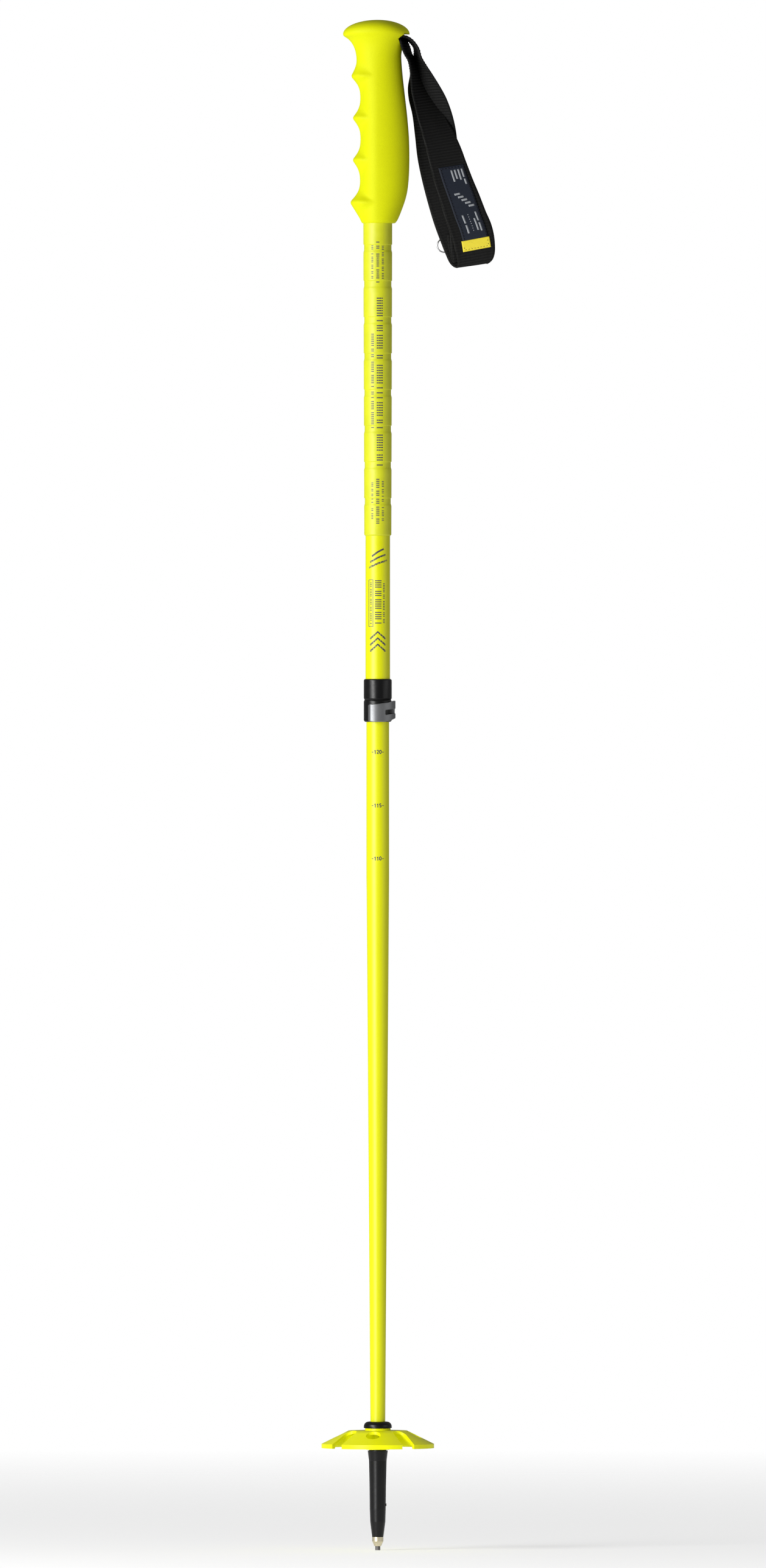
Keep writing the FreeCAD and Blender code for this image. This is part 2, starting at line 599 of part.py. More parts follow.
def make_strap_end():
    """The webbing's gathered ends, looped round the cross pin inside the grip."""
    half = POCKET_HALF - SMALL_GAP
    outer = PIN_R + STRAP_T
    end_x = MOUTH_X - 3.2
    loop = Part.makeCylinder(outer, 2 * half, vec(PIN_X, -half, PIN_Z), vec(0, 1, 0))
    loop = loop.fuse(box((PIN_X, -half, PIN_Z - outer), (end_x, half, PIN_Z + outer)))
    slot = Part.makeCylinder(PIN_R, 2 * half + 2, vec(PIN_X, -half - 1, PIN_Z), vec(0, 1, 0))
    keep("strap_end", loop.cut(slot))


def strap_place(shape):
    """Lean a shape, drawn hanging straight down from the origin, to the strap's angle at the mouth."""
    placed = shape.copy()
    placed.rotate(vec(0, 0, 0), vec(0, 1, 0), -STRAP_LEAN)
    placed.translate(vec(MOUTH_X + 3.0, 0, PIN_Z - 3.0))
    return placed


def make_strap():
    """Hanging loop of webbing: one band, open between its front and back strands."""
    half = STRAP_SPREAD / 2
    neck = STRAP_NECK / 2
    low = -STRAP_LENGTH

    def band(grow):
        """Outline across the loop in (y, z), grown outwards from its middle line."""
        points = [(-neck - grow, 0.0 + grow), (-half - grow, -70.0), (-half - grow, low + half)]
        for i in range(1, 12):
            angle = math.radians(15 * i)
            points.append((-(half + grow) * math.cos(angle), low + half - (half + grow) * math.sin(angle)))
        points += [(half + grow, low + half), (half + grow, -70.0), (neck + grow, 0.0 + grow)]
        return points

    def across(points):
        wire = Part.makePolygon([vec(-40, y, z) for y, z in points + points[:1]])
        return Part.Face(wire).extrude(vec(80, 0, 0))

    loop = across(band(0)).cut(across(band(-STRAP_T)))
    wide = STRAP_WIDTH / 2
    side = [(-4.0, 2.0), (4.0, 2.0), (wide - 3, -28.0), (wide, -75.0), (wide, low - 2),
            (-wide, low - 2), (-wide, -75.0), (-wide + 3.5, -30.0)]
    loop = loop.common(front_plate(side, -30, 30))
    keep("strap_webbing", strap_place(loop))


def make_label():
    y = -STRAP_SPREAD / 2
    low = -STRAP_LENGTH + LABEL_UP
    half = LABEL_WIDTH / 2
    label = box((-half, y - LABEL_T, low), (half, y, low + LABEL_LENGTH))
    keep("strap_label", strap_place(label))
    half = TAB_WIDTH / 2
    tab = box((-half, y - TAB_T, low - TAB_LENGTH), (half, y, low - 0.05))
    keep("strap_tab", strap_place(tab))


def make_strap_ring():
    """Wire ring behind the strap's inner edge, and the folded tape that keeps it."""
    y = STRAP_SPREAD / 2
    z = -STRAP_LENGTH + RING_UP
    x = -STRAP_WIDTH / 2 - KEEPER_OUT
    pivot_x = x + KEEPER_SIDE
    ring_y = y + KEEPER_T + RING_GAP + RING_WIRE
    ring = Part.makeTorus(RING_R, RING_WIRE, vec(pivot_x - RING_R, ring_y, z), vec(0, 1, 0))
    keep("strap_ring", strap_place(ring))
    half = KEEPER_WIDTH / 2
    inner = 2 * RING_WIRE + 2 * RING_GAP
    keeper = box((x - KEEPER_T, y, z - half), (x + KEEPER_LENGTH, y + 2 * KEEPER_T + inner, z + half))
    space = box((x, y + KEEPER_T, z - half - 1), (x + KEEPER_SPACE, y + KEEPER_T + inner, z + half + 1))
    keep("ring_keeper", strap_place(keeper.cut(space)))


make_carbide_tip()
make_tip_holder()
make_ferrule()
make_lower_shaft()
make_lower_plug()
make_guide_ring()
make_basket()
make_upper_shaft()
make_collar()
make_wear_plate()
make_screw()
make_barrel_nut()
make_lever()
make_sleeve()
make_grip()
make_top_plug()
make_strap_pin()
make_strap_end()
make_strap()
make_label()
make_strap_ring()

os.makedirs("parts", exist_ok=True)
for name, shape in parts.items():
    solids = len(shape.Solids)
    print(f"{name}: valid {shape.isValid()}, {solids} solid(s), {shape.Volume / 1000:.2f} cm3")
    shape.exportStep(f"parts/{name}.step")
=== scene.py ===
import json
import math
from bisect import bisect_right

import bmesh
import bpy
from mathutils import Matrix, Vector, noise
from mathutils.bvhtree import BVHTree


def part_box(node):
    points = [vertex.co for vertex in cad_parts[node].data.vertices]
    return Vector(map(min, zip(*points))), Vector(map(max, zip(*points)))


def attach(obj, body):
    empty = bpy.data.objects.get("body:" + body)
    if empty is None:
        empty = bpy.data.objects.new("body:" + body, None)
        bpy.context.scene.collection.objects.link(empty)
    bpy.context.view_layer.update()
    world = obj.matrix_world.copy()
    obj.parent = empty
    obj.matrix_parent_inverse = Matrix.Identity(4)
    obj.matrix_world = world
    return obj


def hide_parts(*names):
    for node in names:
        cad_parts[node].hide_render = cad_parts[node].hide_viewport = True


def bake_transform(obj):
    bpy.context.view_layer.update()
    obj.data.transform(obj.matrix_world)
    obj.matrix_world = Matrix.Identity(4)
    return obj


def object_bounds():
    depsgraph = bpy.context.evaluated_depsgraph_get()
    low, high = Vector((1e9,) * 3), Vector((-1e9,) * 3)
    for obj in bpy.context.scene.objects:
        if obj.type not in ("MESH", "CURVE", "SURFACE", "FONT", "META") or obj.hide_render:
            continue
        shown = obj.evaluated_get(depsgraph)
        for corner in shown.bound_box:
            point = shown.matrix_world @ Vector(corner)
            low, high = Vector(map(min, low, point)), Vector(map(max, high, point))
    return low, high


# Looks of the two-section ski pole. Metres, +Z up along the shaft, origin at the carbide tip.
# +X is the side that the wrist strap hangs on, and -Y is the front.

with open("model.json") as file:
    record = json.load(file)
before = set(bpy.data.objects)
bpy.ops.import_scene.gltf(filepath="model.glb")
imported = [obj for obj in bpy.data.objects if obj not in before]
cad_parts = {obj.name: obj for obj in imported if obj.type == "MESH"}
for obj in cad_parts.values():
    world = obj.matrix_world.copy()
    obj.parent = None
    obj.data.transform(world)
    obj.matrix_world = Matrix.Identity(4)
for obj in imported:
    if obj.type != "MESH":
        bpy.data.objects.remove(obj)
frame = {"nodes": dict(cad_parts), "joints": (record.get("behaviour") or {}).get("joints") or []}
cad_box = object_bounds()
nodes = frame["nodes"]
joints = {joint["name"]: joint for joint in frame["joints"]}
MM = 0.001

grip_low, grip_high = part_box("grip")
GRIP_Z = grip_low.z
POLE_TOP = grip_high.z
UPPER_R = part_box("upper_shaft")[1].x
STRAP_PIVOT = Vector(joints["strap_swing"]["pos_m"])
RIB_PITCH = 2.3  # cross ribs of the webbing, in millimetres


# ---------------------------------------------------------------- materials
def srgb(red, green, blue):
    """Linear colour of an 8-bit screen colour."""
    channels = []
    for value in (red, green, blue):
        share = value / 255
        channels.append(share / 12.92 if share <= 0.04045 else ((share + 0.055) / 1.055) ** 2.4)
    return (*channels, 1.0)


class Finish:
    """A material, and short ways to add pattern nodes to it."""

    def __init__(self, name, colour, roughness=0.5, **sockets):
        self.material = bpy.data.materials.new(name)
        self.material.use_nodes = True
        self.tree = self.material.node_tree
        self.shader = self.tree.nodes["Principled BSDF"]
        self.shader.inputs["Base Color"].default_value = colour
        self.shader.inputs["Roughness"].default_value = roughness
        for socket, value in sockets.items():
            self.shader.inputs[socket.replace("_", " ")].default_value = value
        self.colour = colour
        coordinates = self.node("ShaderNodeTexCoord")
        self.place = coordinates.outputs["Object"]

    def node(self, kind, **settings):
        made = self.tree.nodes.new(kind)
        for key, value in settings.items():
            setattr(made, key, value)
        return made

    def link(self, output, socket):
        self.tree.links.new(output, socket)

    def stretched(self, x, y, z):
        """Object coordinates stretched by a factor along each axis."""
        mapping = self.node("ShaderNodeMapping")
        mapping.inputs["Scale"].default_value = (x, y, z)
        self.link(self.place, mapping.inputs["Vector"])
        return mapping.outputs["Vector"]

    def noise(self, size, detail=3.0, place=None):
        """Noise from 0 to 1 whose features are about size metres across."""
        texture = self.node("ShaderNodeTexNoise")
        texture.inputs["Scale"].default_value = 1.0 / size
        texture.inputs["Detail"].default_value = detail
        self.link(place or self.place, texture.inputs["Vector"])
        return texture.outputs["Fac"]

    def between(self, value, low, high, to_low=0.0, to_high=1.0):
        """The value spread from one range onto another, held at its ends."""
        spread = self.node("ShaderNodeMapRange")
        numbers = {"From Min": low, "From Max": high, "To Min": to_low, "To Max": to_high}
        for socket, number in numbers.items():
            spread.inputs[socket].default_value = number
        self.link(value, spread.inputs["Value"])
        return spread.outputs["Result"]

    def maths(self, operation, first, second=0.0):
        """The result of an operation on two outputs or numbers."""
        made = self.node("ShaderNodeMath", operation=operation)
        for socket, value in zip(made.inputs, (first, second)):
            if isinstance(value, float):
                socket.default_value = value
            else:
                self.link(value, socket)
        return made.outputs["Value"]

    def tint(self, factor, colour):
        """Blend the base colour towards another where the factor is 1."""
        blend = self.node("ShaderNodeMix", data_type="RGBA")
        self.link(factor, blend.inputs["Factor"])
        base = self.shader.inputs["Base Color"]
        if base.is_linked:
            self.link(base.links[0].from_socket, blend.inputs["A"])
        else:
            blend.inputs["A"].default_value = self.colour
        blend.inputs["B"].default_value = colour
        self.link(blend.outputs["Result"], base)
        return self

    def mottle(self, size, detail, low, high, amount, colour):
        """Patches of another colour, up to an amount, where the noise climbs from low to high."""
        return self.tint(self.between(self.noise(size, detail), low, high, 0.0, amount), colour)

    def waves(self, attribute, pitch, operation="SINE"):
        """A wave from -1 to 1 along an attribute in millimetres."""
        turns = self.maths("MULTIPLY", self.attribute(attribute), 2 * math.pi / pitch)
        return self.maths(operation, turns)

    def rough(self, factor, low, high):
        self.link(self.between(factor, 0.0, 1.0, low, high), self.shader.inputs["Roughness"])
        return self

    def bump(self, height, depth):
        """Relief of a height from 0 to 1, depth metres deep, on top of any other."""
        bump = self.node("ShaderNodeBump")
        bump.inputs["Strength"].default_value = 1.0
        bump.inputs["Distance"].default_value = depth
        self.link(height, bump.inputs["Height"])
        normal = self.shader.inputs["Normal"]
        if normal.is_linked:
            self.link(normal.links[0].from_socket, bump.inputs["Normal"])
        self.link(bump.outputs["Normal"], normal)
        return self

    def attribute(self, name):
        return self.node("ShaderNodeAttribute", attribute_name=name).outputs["Fac"]


def moulded(name, colour, roughness, specular, patches, gloss, grain):
    """A painted or moulded surface, with patches of other colours, uneven gloss and fine relief.

    Each patch is (size, detail, low, high, amount, colour), gloss is (size, detail, low, high) and
    grain is (size, detail, depth), with sizes and the depth in millimetres.
    """
    made = Finish(name, colour, roughness, Specular_IOR_Level=specular)
    for size, *patch in patches:
        made.mottle(size * MM, *patch)
    size, detail, low, high = gloss
    made.rough(made.noise(size * MM, detail), low, high)
    size, detail, depth = grain
    made.bump(made.noise(size * MM, detail), depth * MM)
    return made.material


def grip_rubber():
    """Dense foam rubber with an even fine grain."""
    made = Finish("grip_rubber", srgb(218, 223, 0), 0.62, Specular_IOR_Level=0.16)
    fine = made.noise(0.6 * MM, 4.0)
    made.tint(made.between(fine, 0.42, 0.62, 0.0, 0.22), srgb(192, 197, 0))
    made.mottle(14 * MM, 2.0, 0.4, 0.7, 0.25, srgb(212, 214, 0))
    made.rough(fine, 0.5, 0.74)
    made.bump(fine, 0.08 * MM)
    return made.material


def grained(name, colour, other, roughness, blotch, grain, **sockets):
    """Two colours mixed by noise, blotch being its (size, detail), with relief as in moulded."""
    made = Finish(name, colour, roughness, **sockets)
    size, detail = blotch
    made.tint(made.noise(size * MM, detail), other)
    size, detail, depth = grain
    made.bump(made.noise(size * MM, detail), depth * MM)
    return made.material


def anodised_lever():
    """Dark grey anodised aluminium with a fine blasted grain."""
    made = Finish("anodised_lever", srgb(126, 127, 129), 0.42, Metallic=0.7)
    grain = made.noise(0.25 * MM, 3.0)
    made.tint(made.between(grain, 0.4, 0.7, 0.0, 0.5), srgb(110, 111, 113))
    made.rough(made.noise(4 * MM, 4.0), 0.34, 0.48)
    made.bump(grain, 0.01 * MM)
    return made.material


def turned_steel():
    made = Finish("turned_steel", srgb(190, 190, 192), 0.28, Metallic=1.0)
    lines = made.noise(0.3 * MM, 2.0, made.stretched(0.2, 0.2, 1.0))
    made.tint(lines, srgb(168, 168, 171))
    made.rough(made.noise(1.2 * MM), 0.2, 0.36)
    made.bump(lines, 0.006 * MM)
    return made.material


def plated_cup():
    """Warm nickel plate, turned, with small dull stains."""
    made = Finish("plated_cup", srgb(214, 205, 178), 0.3, Metallic=1.0)
    made.mottle(1.6 * MM, 4.0, 0.5, 0.75, 0.45, srgb(168, 156, 128))
    made.rough(made.noise(0.8 * MM, 3.0), 0.22, 0.46)
    made.bump(made.noise(0.25 * MM, 2.0, made.stretched(0.3, 0.3, 1.0)), 0.01 * MM)
    return made.material


def woven_black():
    """Black polyester webbing: fine yarns along it, over the ribs of its mesh, with painted shade
    darkening the hollows between the ribs.
    """
    made = Finish("woven_black", srgb(13, 13, 12), 0.68, Specular_IOR_Level=0.16)
    yarn = made.between(made.waves("across_mm", 0.95), -1.0, 1.0)
    # painted shade: 1 in the hollows between the ribs, where the colour is darkened below
    rib_hollow_shade = made.between(made.waves("along_mm", RIB_PITCH, "COSINE"), 0.1, 0.9)
    made.mottle(1.6 * MM, 4.0, 0.45, 0.8, 0.5, srgb(24, 24, 22))
    made.tint(made.between(yarn, 0.5, 1.0, 0.0, 0.3), srgb(24, 24, 23))
    # painted shade: near black in the hollows between the ribs
    made.tint(rib_hollow_shade, srgb(5, 5, 5))
    made.rough(made.noise(1.0 * MM, 3.0), 0.5, 0.75)
    made.bump(yarn, 0.12 * MM)
    return made.material


def woven_label():
    """Navy satin-woven label with its fine weft lines."""
    made = Finish("woven_label", srgb(22, 28, 40), 0.6, Specular_IOR_Level=0.25)
    weft = made.between(made.waves("along_mm", 0.42), -1.0, 1.0)
    made.tint(made.between(weft, 0.4, 1.0, 0.0, 0.5), srgb(32, 39, 52))
    made.mottle(1.5 * MM, 4.0, 0.5, 0.8, 0.5, srgb(17, 21, 33))
    made.bump(weft, 0.05 * MM)
    return made.material


def yellow_tape():
    """Warm yellow woven tape."""
    made = Finish("yellow_tape", srgb(232, 214, 44), 0.6, Sheen_Weight=0.15, Sheen_Roughness=0.5)
    yarn = made.maths("MULTIPLY", made.waves("across_mm", 0.5), made.waves("along_mm", 0.5))
    height = made.between(yarn, -1.0, 1.0)
    made.tint(made.between(height, 0.3, 0.9, 0.0, 0.4), srgb(214, 192, 26))
    made.mottle(1.2 * MM, 3.0, 0.55, 0.8, 0.5, srgb(200, 176, 30))
    made.bump(height, 0.06 * MM)
    return made.material


def print_ink(name, colour, faded):
    """Screen print, slightly uneven, with faded patches."""
    made = Finish(name, colour, 0.5)
    made.mottle(0.8 * MM, 4.0, 0.5, 0.75, 0.7, faded)
    made.rough(made.noise(0.5 * MM, 2.0), 0.42, 0.58)
    return made.material


# satin paint with a few dull specks, milky rubber, black satin plastic and bright plastic
SHAFT = moulded("shaft_paint", srgb(222, 224, 0), 0.36, 0.38, [
    (60, 2.0, 0.35, 0.7, 0.35, srgb(212, 216, 0)), (0.35, 1.0, 0.68, 0.74, 0.5, srgb(196, 199, 0)),
], (14, 4.0, 0.32, 0.42), (0.9, 2.0, 0.012))
SLEEVE = moulded("sleeve_rubber", srgb(214, 218, 24), 0.45, 0.5, [
    (18, 3.0, 0.35, 0.7, 0.5, srgb(196, 200, 18)),
], (3, 4.0, 0.4, 0.52), (0.5, 3.0, 0.02))
BLACK = moulded("black_moulding", srgb(7, 7, 8), 0.3, 0.3, [
    (9, 4.0, 0.5, 0.8, 0.5, srgb(13, 13, 14)),
], (2.5, 4.0, 0.24, 0.4), (0.35, 2.0, 0.012))
BASKET = moulded("basket_plastic", srgb(242, 245, 0), 0.42, 0.25, [
    (16, 3.0, 0.35, 0.7, 0.5, srgb(230, 233, 0)),
], (5, 4.0, 0.3, 0.44), (0.6, 2.0, 0.015))
GRIP = grip_rubber()
PALE = grained("pale_moulding", srgb(222, 221, 214), srgb(205, 204, 198), 0.42, (3, 3.0), (0.4, 2.0, 0.01))
LEVER = anodised_lever()
STEEL = turned_steel()
CUP = plated_cup()
CARBIDE = grained("ground_carbide", srgb(118, 116, 114), srgb(86, 84, 83), 0.42, (0.5, 4.0),
                  (0.18, 3.0, 0.02), Metallic=0.9)
WEBBING = woven_black()
LABEL = woven_label()
TAPE = yellow_tape()
DARK_THREAD = grained("dark_thread", srgb(12, 13, 22), srgb(26, 28, 40), 0.6, (0.4, 2.0),
                      (0.2, 2.0, 0.03), Specular_IOR_Level=0.25)
INK = print_ink("dark_ink", srgb(66, 62, 74), srgb(112, 108, 110))
LABEL_INK = print_ink("label_yarn", srgb(142, 145, 149), srgb(112, 116, 122))

CAD_FINISHES = {
    "lower_shaft": SHAFT, "upper_shaft": SHAFT, "grip_sleeve": SLEEVE, "clamp_collar": BLACK,
    "clamp_lever": LEVER, "tension_screw": STEEL, "barrel_nut": STEEL, "cam_wear_plate": STEEL,
    "guide_ring": PALE, "lower_shaft_plug": BLACK, "upper_shaft_plug": BLACK, "strap_pin": STEEL,
    "ferrule": BLACK, "tip_holder": CUP, "carbide_tip": CARBIDE, "basket": BASKET, "strap_ring": STEEL,
}


def set_finish(obj, finish):
    obj.data.materials.clear()
    obj.data.materials.append(finish)


for node, finish in CAD_FINISHES.items():
    set_finish(nodes[node], finish)

# width of the rounding in millimetres, and the least angle of an edge that gets it
SOFT_EDGES = {"clamp_collar": (0.35, 50), "basket": (0.6, 35), "grip_sleeve": (0.3, 35)}
for node, (width, least) in SOFT_EDGES.items():
    weld = nodes[node].modifiers.new("weld", "WELD")
    weld.merge_threshold = 0.002 * MM
    bevel = nodes[node].modifiers.new("soft edges", "BEVEL")
    bevel.width = width * MM
    bevel.segments = 3
    bevel.limit_method = "ANGLE"
    bevel.angle_limit = math.radians(least)
    nodes[node].modifiers.new("even normals", "WEIGHTED_NORMAL").keep_sharp = False


# ---------------------------------------------------------------- mesh helpers
def spline(points, count):
    """Evenly parametrised Catmull-Rom curve through points, each a tuple of numbers."""
    rows = [Vector(p) for p in points]
    first = rows[0] * 2 - rows[1]
    last = rows[-1] * 2 - rows[-2]
    rows = [first, *rows, last]
    out = []
    spans = len(rows) - 3
    for i in range(count):
        at = i * spans / (count - 1)
        k = min(int(at), spans - 1)
        t = at - k
        a, b, c, d = rows[k:k + 4]
        out.append(0.5 * (2 * b + (c - a) * t + (2 * a - 5 * b + 4 * c - d) * t ** 2
                          + (3 * b - a - 3 * c + d) * t ** 3))
    return out


def curve_value(points, x):
    """Smooth value at x of a curve through (x, value) points."""
    if x <= points[0][0]:
        return points[0][1]
    if x >= points[-1][0]:
        return points[-1][1]
    k = max(i for i in range(len(points) - 1) if points[i][0] <= x)
    x1, y1 = points[k]
    x2, y2 = points[k + 1]

    def slope(i):
        low, high = max(i - 1, 0), min(i + 1, len(points) - 1)
        return (points[high][1] - points[low][1]) / (points[high][0] - points[low][0])

    span = x2 - x1
    t = (x - x1) / span
    rise = y2 - y1
    start = span * slope(k)
    end = span * slope(k + 1)
    return y1 + t * (start + t * (3 * rise - 2 * start - end + t * (start + end - 2 * rise)))


def new_object(name, data):
    made = bpy.data.objects.new(name, data)
    bpy.context.scene.collection.objects.link(made)
    return made


def mesh_object(name, points, faces):
    mesh = bpy.data.meshes.new(name)
    mesh.from_pydata([tuple(p) for p in points], [], faces)
    return new_object(name, mesh)


def piece(name, points, faces, finish, slot):
    """A smooth visible mesh with its finish; the slot argument is not used."""
    made = mesh_object(name, points, faces)
    made.data.shade_smooth()
    set_finish(made, finish)
    return made


def face_outwards(obj, merge=True):
    """Turn every face outwards, after points in the same place are merged."""
    made = bmesh.new()
    made.from_mesh(obj.data)
    if merge:
        bmesh.ops.remove_doubles(made, verts=made.verts, dist=0.001 * MM)
    bmesh.ops.recalc_face_normals(made, faces=made.faces)
    made.to_mesh(obj.data)
    made.free()


def apply_modifiers(obj):
    """Replace an object's mesh with what its modifiers make of it."""
    bpy.context.view_layer.update()
    graph = bpy.context.evaluated_depsgraph_get()
    mesh = bpy.data.meshes.new_from_object(obj.evaluated_get(graph))
    obj.modifiers.clear()
    obj.data = mesh


def ring_faces(rows, around, closed=True):
    """Quads between rows of points."""
    faces = []
    last = around if closed else around - 1
    for i in range(rows - 1):
        for j in range(last):
            k = (j + 1) % around
            faces.append((i * around + j, i * around + k, (i + 1) * around + k, (i + 1) * around + j))
    return faces


# ---------------------------------------------------------------- grip
# heights above the grip's bottom and distances from the axis, in millimetres
GRIP_RIGHT = [(0, 14.0), (2.8, 16.0), (11.5, 19.6), (20.5, 22.6), (29.5, 24.3), (44.5, 25.3),
              (65.5, 25.2), (83.5, 23.9), (101.5, 21.9), (116.5, 20.2), (128, 19.2), (136, 18.8)]
GRIP_LEFT = [(0, 12.2), (3, 13.0), (20, 13.4), (70, 13.3), (105, 13.5), (122, 14.8), (134.4, 16.9)]
GRIP_HALF = [(0, 12.6), (3, 13.4), (20, 15.0), (45, 16.0), (65, 16.0), (100, 15.1), (125, 14.4),
             (136, 14.6)]
RIDGE_TIPS = [(17.0, 22.6), (50.8, 20.7), (84.5, 20.7), (118.0, 21.9)]
RIDGE_HOLLOWS = [13.9, 13.3, 13.5]
RIDGE_AXIS = 8.0
RIDGE_LOW_SLOPE = 0.62  # how fast the lowest ridge falls away below its tip
RIDGE_HOLLOW_POWER = 2.1  # 1 for straight flanks between tip and hollow, and more for rounder hollows
RIDGE_TIP_ROUND = 1.5
RIDGE_BLEND = 2.4
NECK_UP = 134.4
NECK_LEFT = 16.4
NECK_POWER = 0.85
RIM_UP = 151.9
RIM_LEFT = 27.9
RIM_RIGHT = 25.6
RIM_HALF = 21.4
RIM_LIFT = 2.6
GRIP_AROUND = 144
GRIP_FOOT = 0.8  # the lower edge is rounded below this height
GRIP_FOOT_ROWS = ((0.93, 0.0), (0.975, 0.25))  # share of the outline, height
# half of the strap slot's outline as (y, up from the rim), from the middle of its bottom to
# the middle of its top
MOUTH_OUTLINE = [(0.0, -13.0), (4.7, -10.6), (8.7, -7.4), (12.6, -3.9), (11.9, 0.0), (10.2, 1.5),
                 (6.6, 0.8), (3.0, 0.2), (0.0, -0.2)]
POCKET_REACH = 60.0  # the slot's cutter runs out past the rim


def ridge_reach(up):
    """How far the finger side stands from the axis at a height."""
    low, high = RIDGE_TIPS[0], RIDGE_TIPS[-1]
    if up < low[0]:
        return low[1] - (low[0] - up) * RIDGE_LOW_SLOPE
    if up > high[0]:
        share = min(1.0, (up - high[0]) / (NECK_UP - high[0]))
        return high[1] - (high[1] - NECK_LEFT) * math.sin(share * math.pi / 2) ** NECK_POWER
    k = max(i for i in range(len(RIDGE_TIPS) - 1) if RIDGE_TIPS[i][0] <= up)
    k = min(k, len(RIDGE_HOLLOWS) - 1)
    (z1, r1), (z2, r2) = RIDGE_TIPS[k], RIDGE_TIPS[k + 1]
    hollow = RIDGE_HOLLOWS[k]
    middle = (z1 + z2) / 2
    share = (up - middle) / ((z2 - z1) / 2)
    tip = r2 if share > 0 else r1
    return hollow + (tip - hollow) * abs(share) ** RIDGE_HOLLOW_POWER


def soft_ridge(up):
    """The ridge with its tip rounded, by averaging over a short height."""
    spread = [RIDGE_TIP_ROUND * share for share in (-1.0, -0.5, 0.0, 0.5, 1.0)]
    return sum(ridge_reach(up + d) for d in spread) / len(spread)


def soft_max(a, b, width):
    """Larger of two lengths, blended over a width."""
    h = max(0.0, 1.0 - abs(a - b) / width)
    return max(a, b) + h * h * width / 4


def grip_point(up, angle):
    """Point of the grip's side below the head, in millimetres about the axis."""
    c, s = math.cos(angle), math.sin(angle)
    reach = curve_value(GRIP_RIGHT if c > 0 else GRIP_LEFT, up)
    half = curve_value(GRIP_HALF, up)
    r = 1 / math.sqrt((c / reach) ** 2 + (s / half) ** 2)
    ridge = soft_ridge(up) - RIDGE_AXIS
    inside = (RIDGE_AXIS * c) ** 2 - RIDGE_AXIS ** 2 + ridge ** 2
    if c < 0 and inside > 0:
        r = soft_max(r, -RIDGE_AXIS * c + math.sqrt(inside), RIDGE_BLEND)
    return r * c, r * s, up


def head_rows():
    """Up the flare as (share from neck to rim, height), then over the dome as (share, height)."""
    height = (POLE_TOP - GRIP_Z) / MM - RIM_UP
    flare = [(0.0, NECK_UP), (0.07, 138.4), (0.21, 142.4), (0.42, 145.9), (0.66, 148.4), (0.86, 149.8),
             (0.965, 150.7), (1.0, RIM_UP)]
    dome = [(1.0, RIM_UP)]
    for degrees in (5, 12, 20, 30, 40, 50, 60, 70, 80, 90):
        angle = math.radians(degrees)
        dome.append((math.cos(angle), RIM_UP + height * math.sin(angle)))
    return spline([(*p, 0.0) for p in flare], 40), spline([(*p, 0.0) for p in dome], 50)


def head_point(share, up, angle, neck=None):
    """Point of the head: share runs to the rim from the neck's outline, or from the middle."""
    c, s = math.cos(angle), math.sin(angle)
    rim = (RIM_RIGHT if c > 0 else RIM_LEFT) * c, RIM_HALF * s
    start = neck or (0.0, 0.0)
    lift = RIM_LIFT * s * s * share ** 2
    x = start[0] + (rim[0] - start[0]) * share
    y = start[1] + (rim[1] - start[1]) * share
    return x, y, up + lift


def build_grip():
    angles = [2 * math.pi * j / GRIP_AROUND for j in range(GRIP_AROUND)]
    rows = []
    for share, up in GRIP_FOOT_ROWS:
        foot = [grip_point(0.75 * GRIP_FOOT, a) for a in angles]
        rows.append([(x * share, y * share, up) for x, y, _ in foot])
    heights = [GRIP_FOOT + (NECK_UP - GRIP_FOOT) * i / 150 for i in range(151)]
    rows += [[grip_point(up, a) for a in angles] for up in heights]
    neck = rows[-1]
    flare, dome = head_rows()
    for share, up, _ in flare[1:]:
        rows.append([head_point(share, up, a, neck[j]) for j, a in enumerate(angles)])
    for share, up, _ in dome[1:-1]:
        rows.append([head_point(share, up, a) for a in angles])
    points = [(x * MM, y * MM, GRIP_Z + z * MM) for row in rows for x, y, z in row]
    faces = ring_faces(len(rows), GRIP_AROUND)
    count = len(points)
    points += [(0, 0, GRIP_Z), (0, 0, POLE_TOP)]
    top = count - GRIP_AROUND
    for j in range(GRIP_AROUND):
        k = (j + 1) % GRIP_AROUND
        faces += [(k, j, count), (top + j, top + k, count + 1)]
    made = piece("grip_rubber_body", points, faces, GRIP, "grip")
    cut_grip(made)
    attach(made, "handle")
    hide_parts("grip")


def mouth_cutter(name, from_x, to_x, rim_z):
    """Prism along X with the outline of the strap's slot, which has a corner at each side."""
    corner = max(range(len(MOUTH_OUTLINE)), key=lambda k: MOUTH_OUTLINE[k][0])
    half = []
    for run in (MOUTH_OUTLINE[:corner + 1], MOUTH_OUTLINE[corner:]):
        half += [(p.x, p.y) for p in spline([(*q, 0.0) for q in run], 16)][:-1]
    half.append(MOUTH_OUTLINE[-1])
    outline = half + [(-y, up) for y, up in reversed(half[1:-1])]
    points = [(x, y * MM, rim_z + up * MM) for x in (from_x, to_x) for y, up in outline]
    count = len(outline)
    faces = ring_faces(2, count) + [tuple(reversed(range(count))), tuple(range(count, 2 * count))]
    tool = mesh_object(name, points, faces)
    face_outwards(tool)
    return tool


def rod_cutter(name, radius, low, high):
    made = bmesh.new()
    bmesh.ops.create_cone(made, cap_ends=True, segments=64, radius1=radius, radius2=radius,
                          depth=high - low)
    mesh = bpy.data.meshes.new(name)
    made.to_mesh(mesh)
    made.free()
    mesh.transform(Matrix.Translation((0, 0, (low + high) / 2)))
    return new_object(name, mesh)


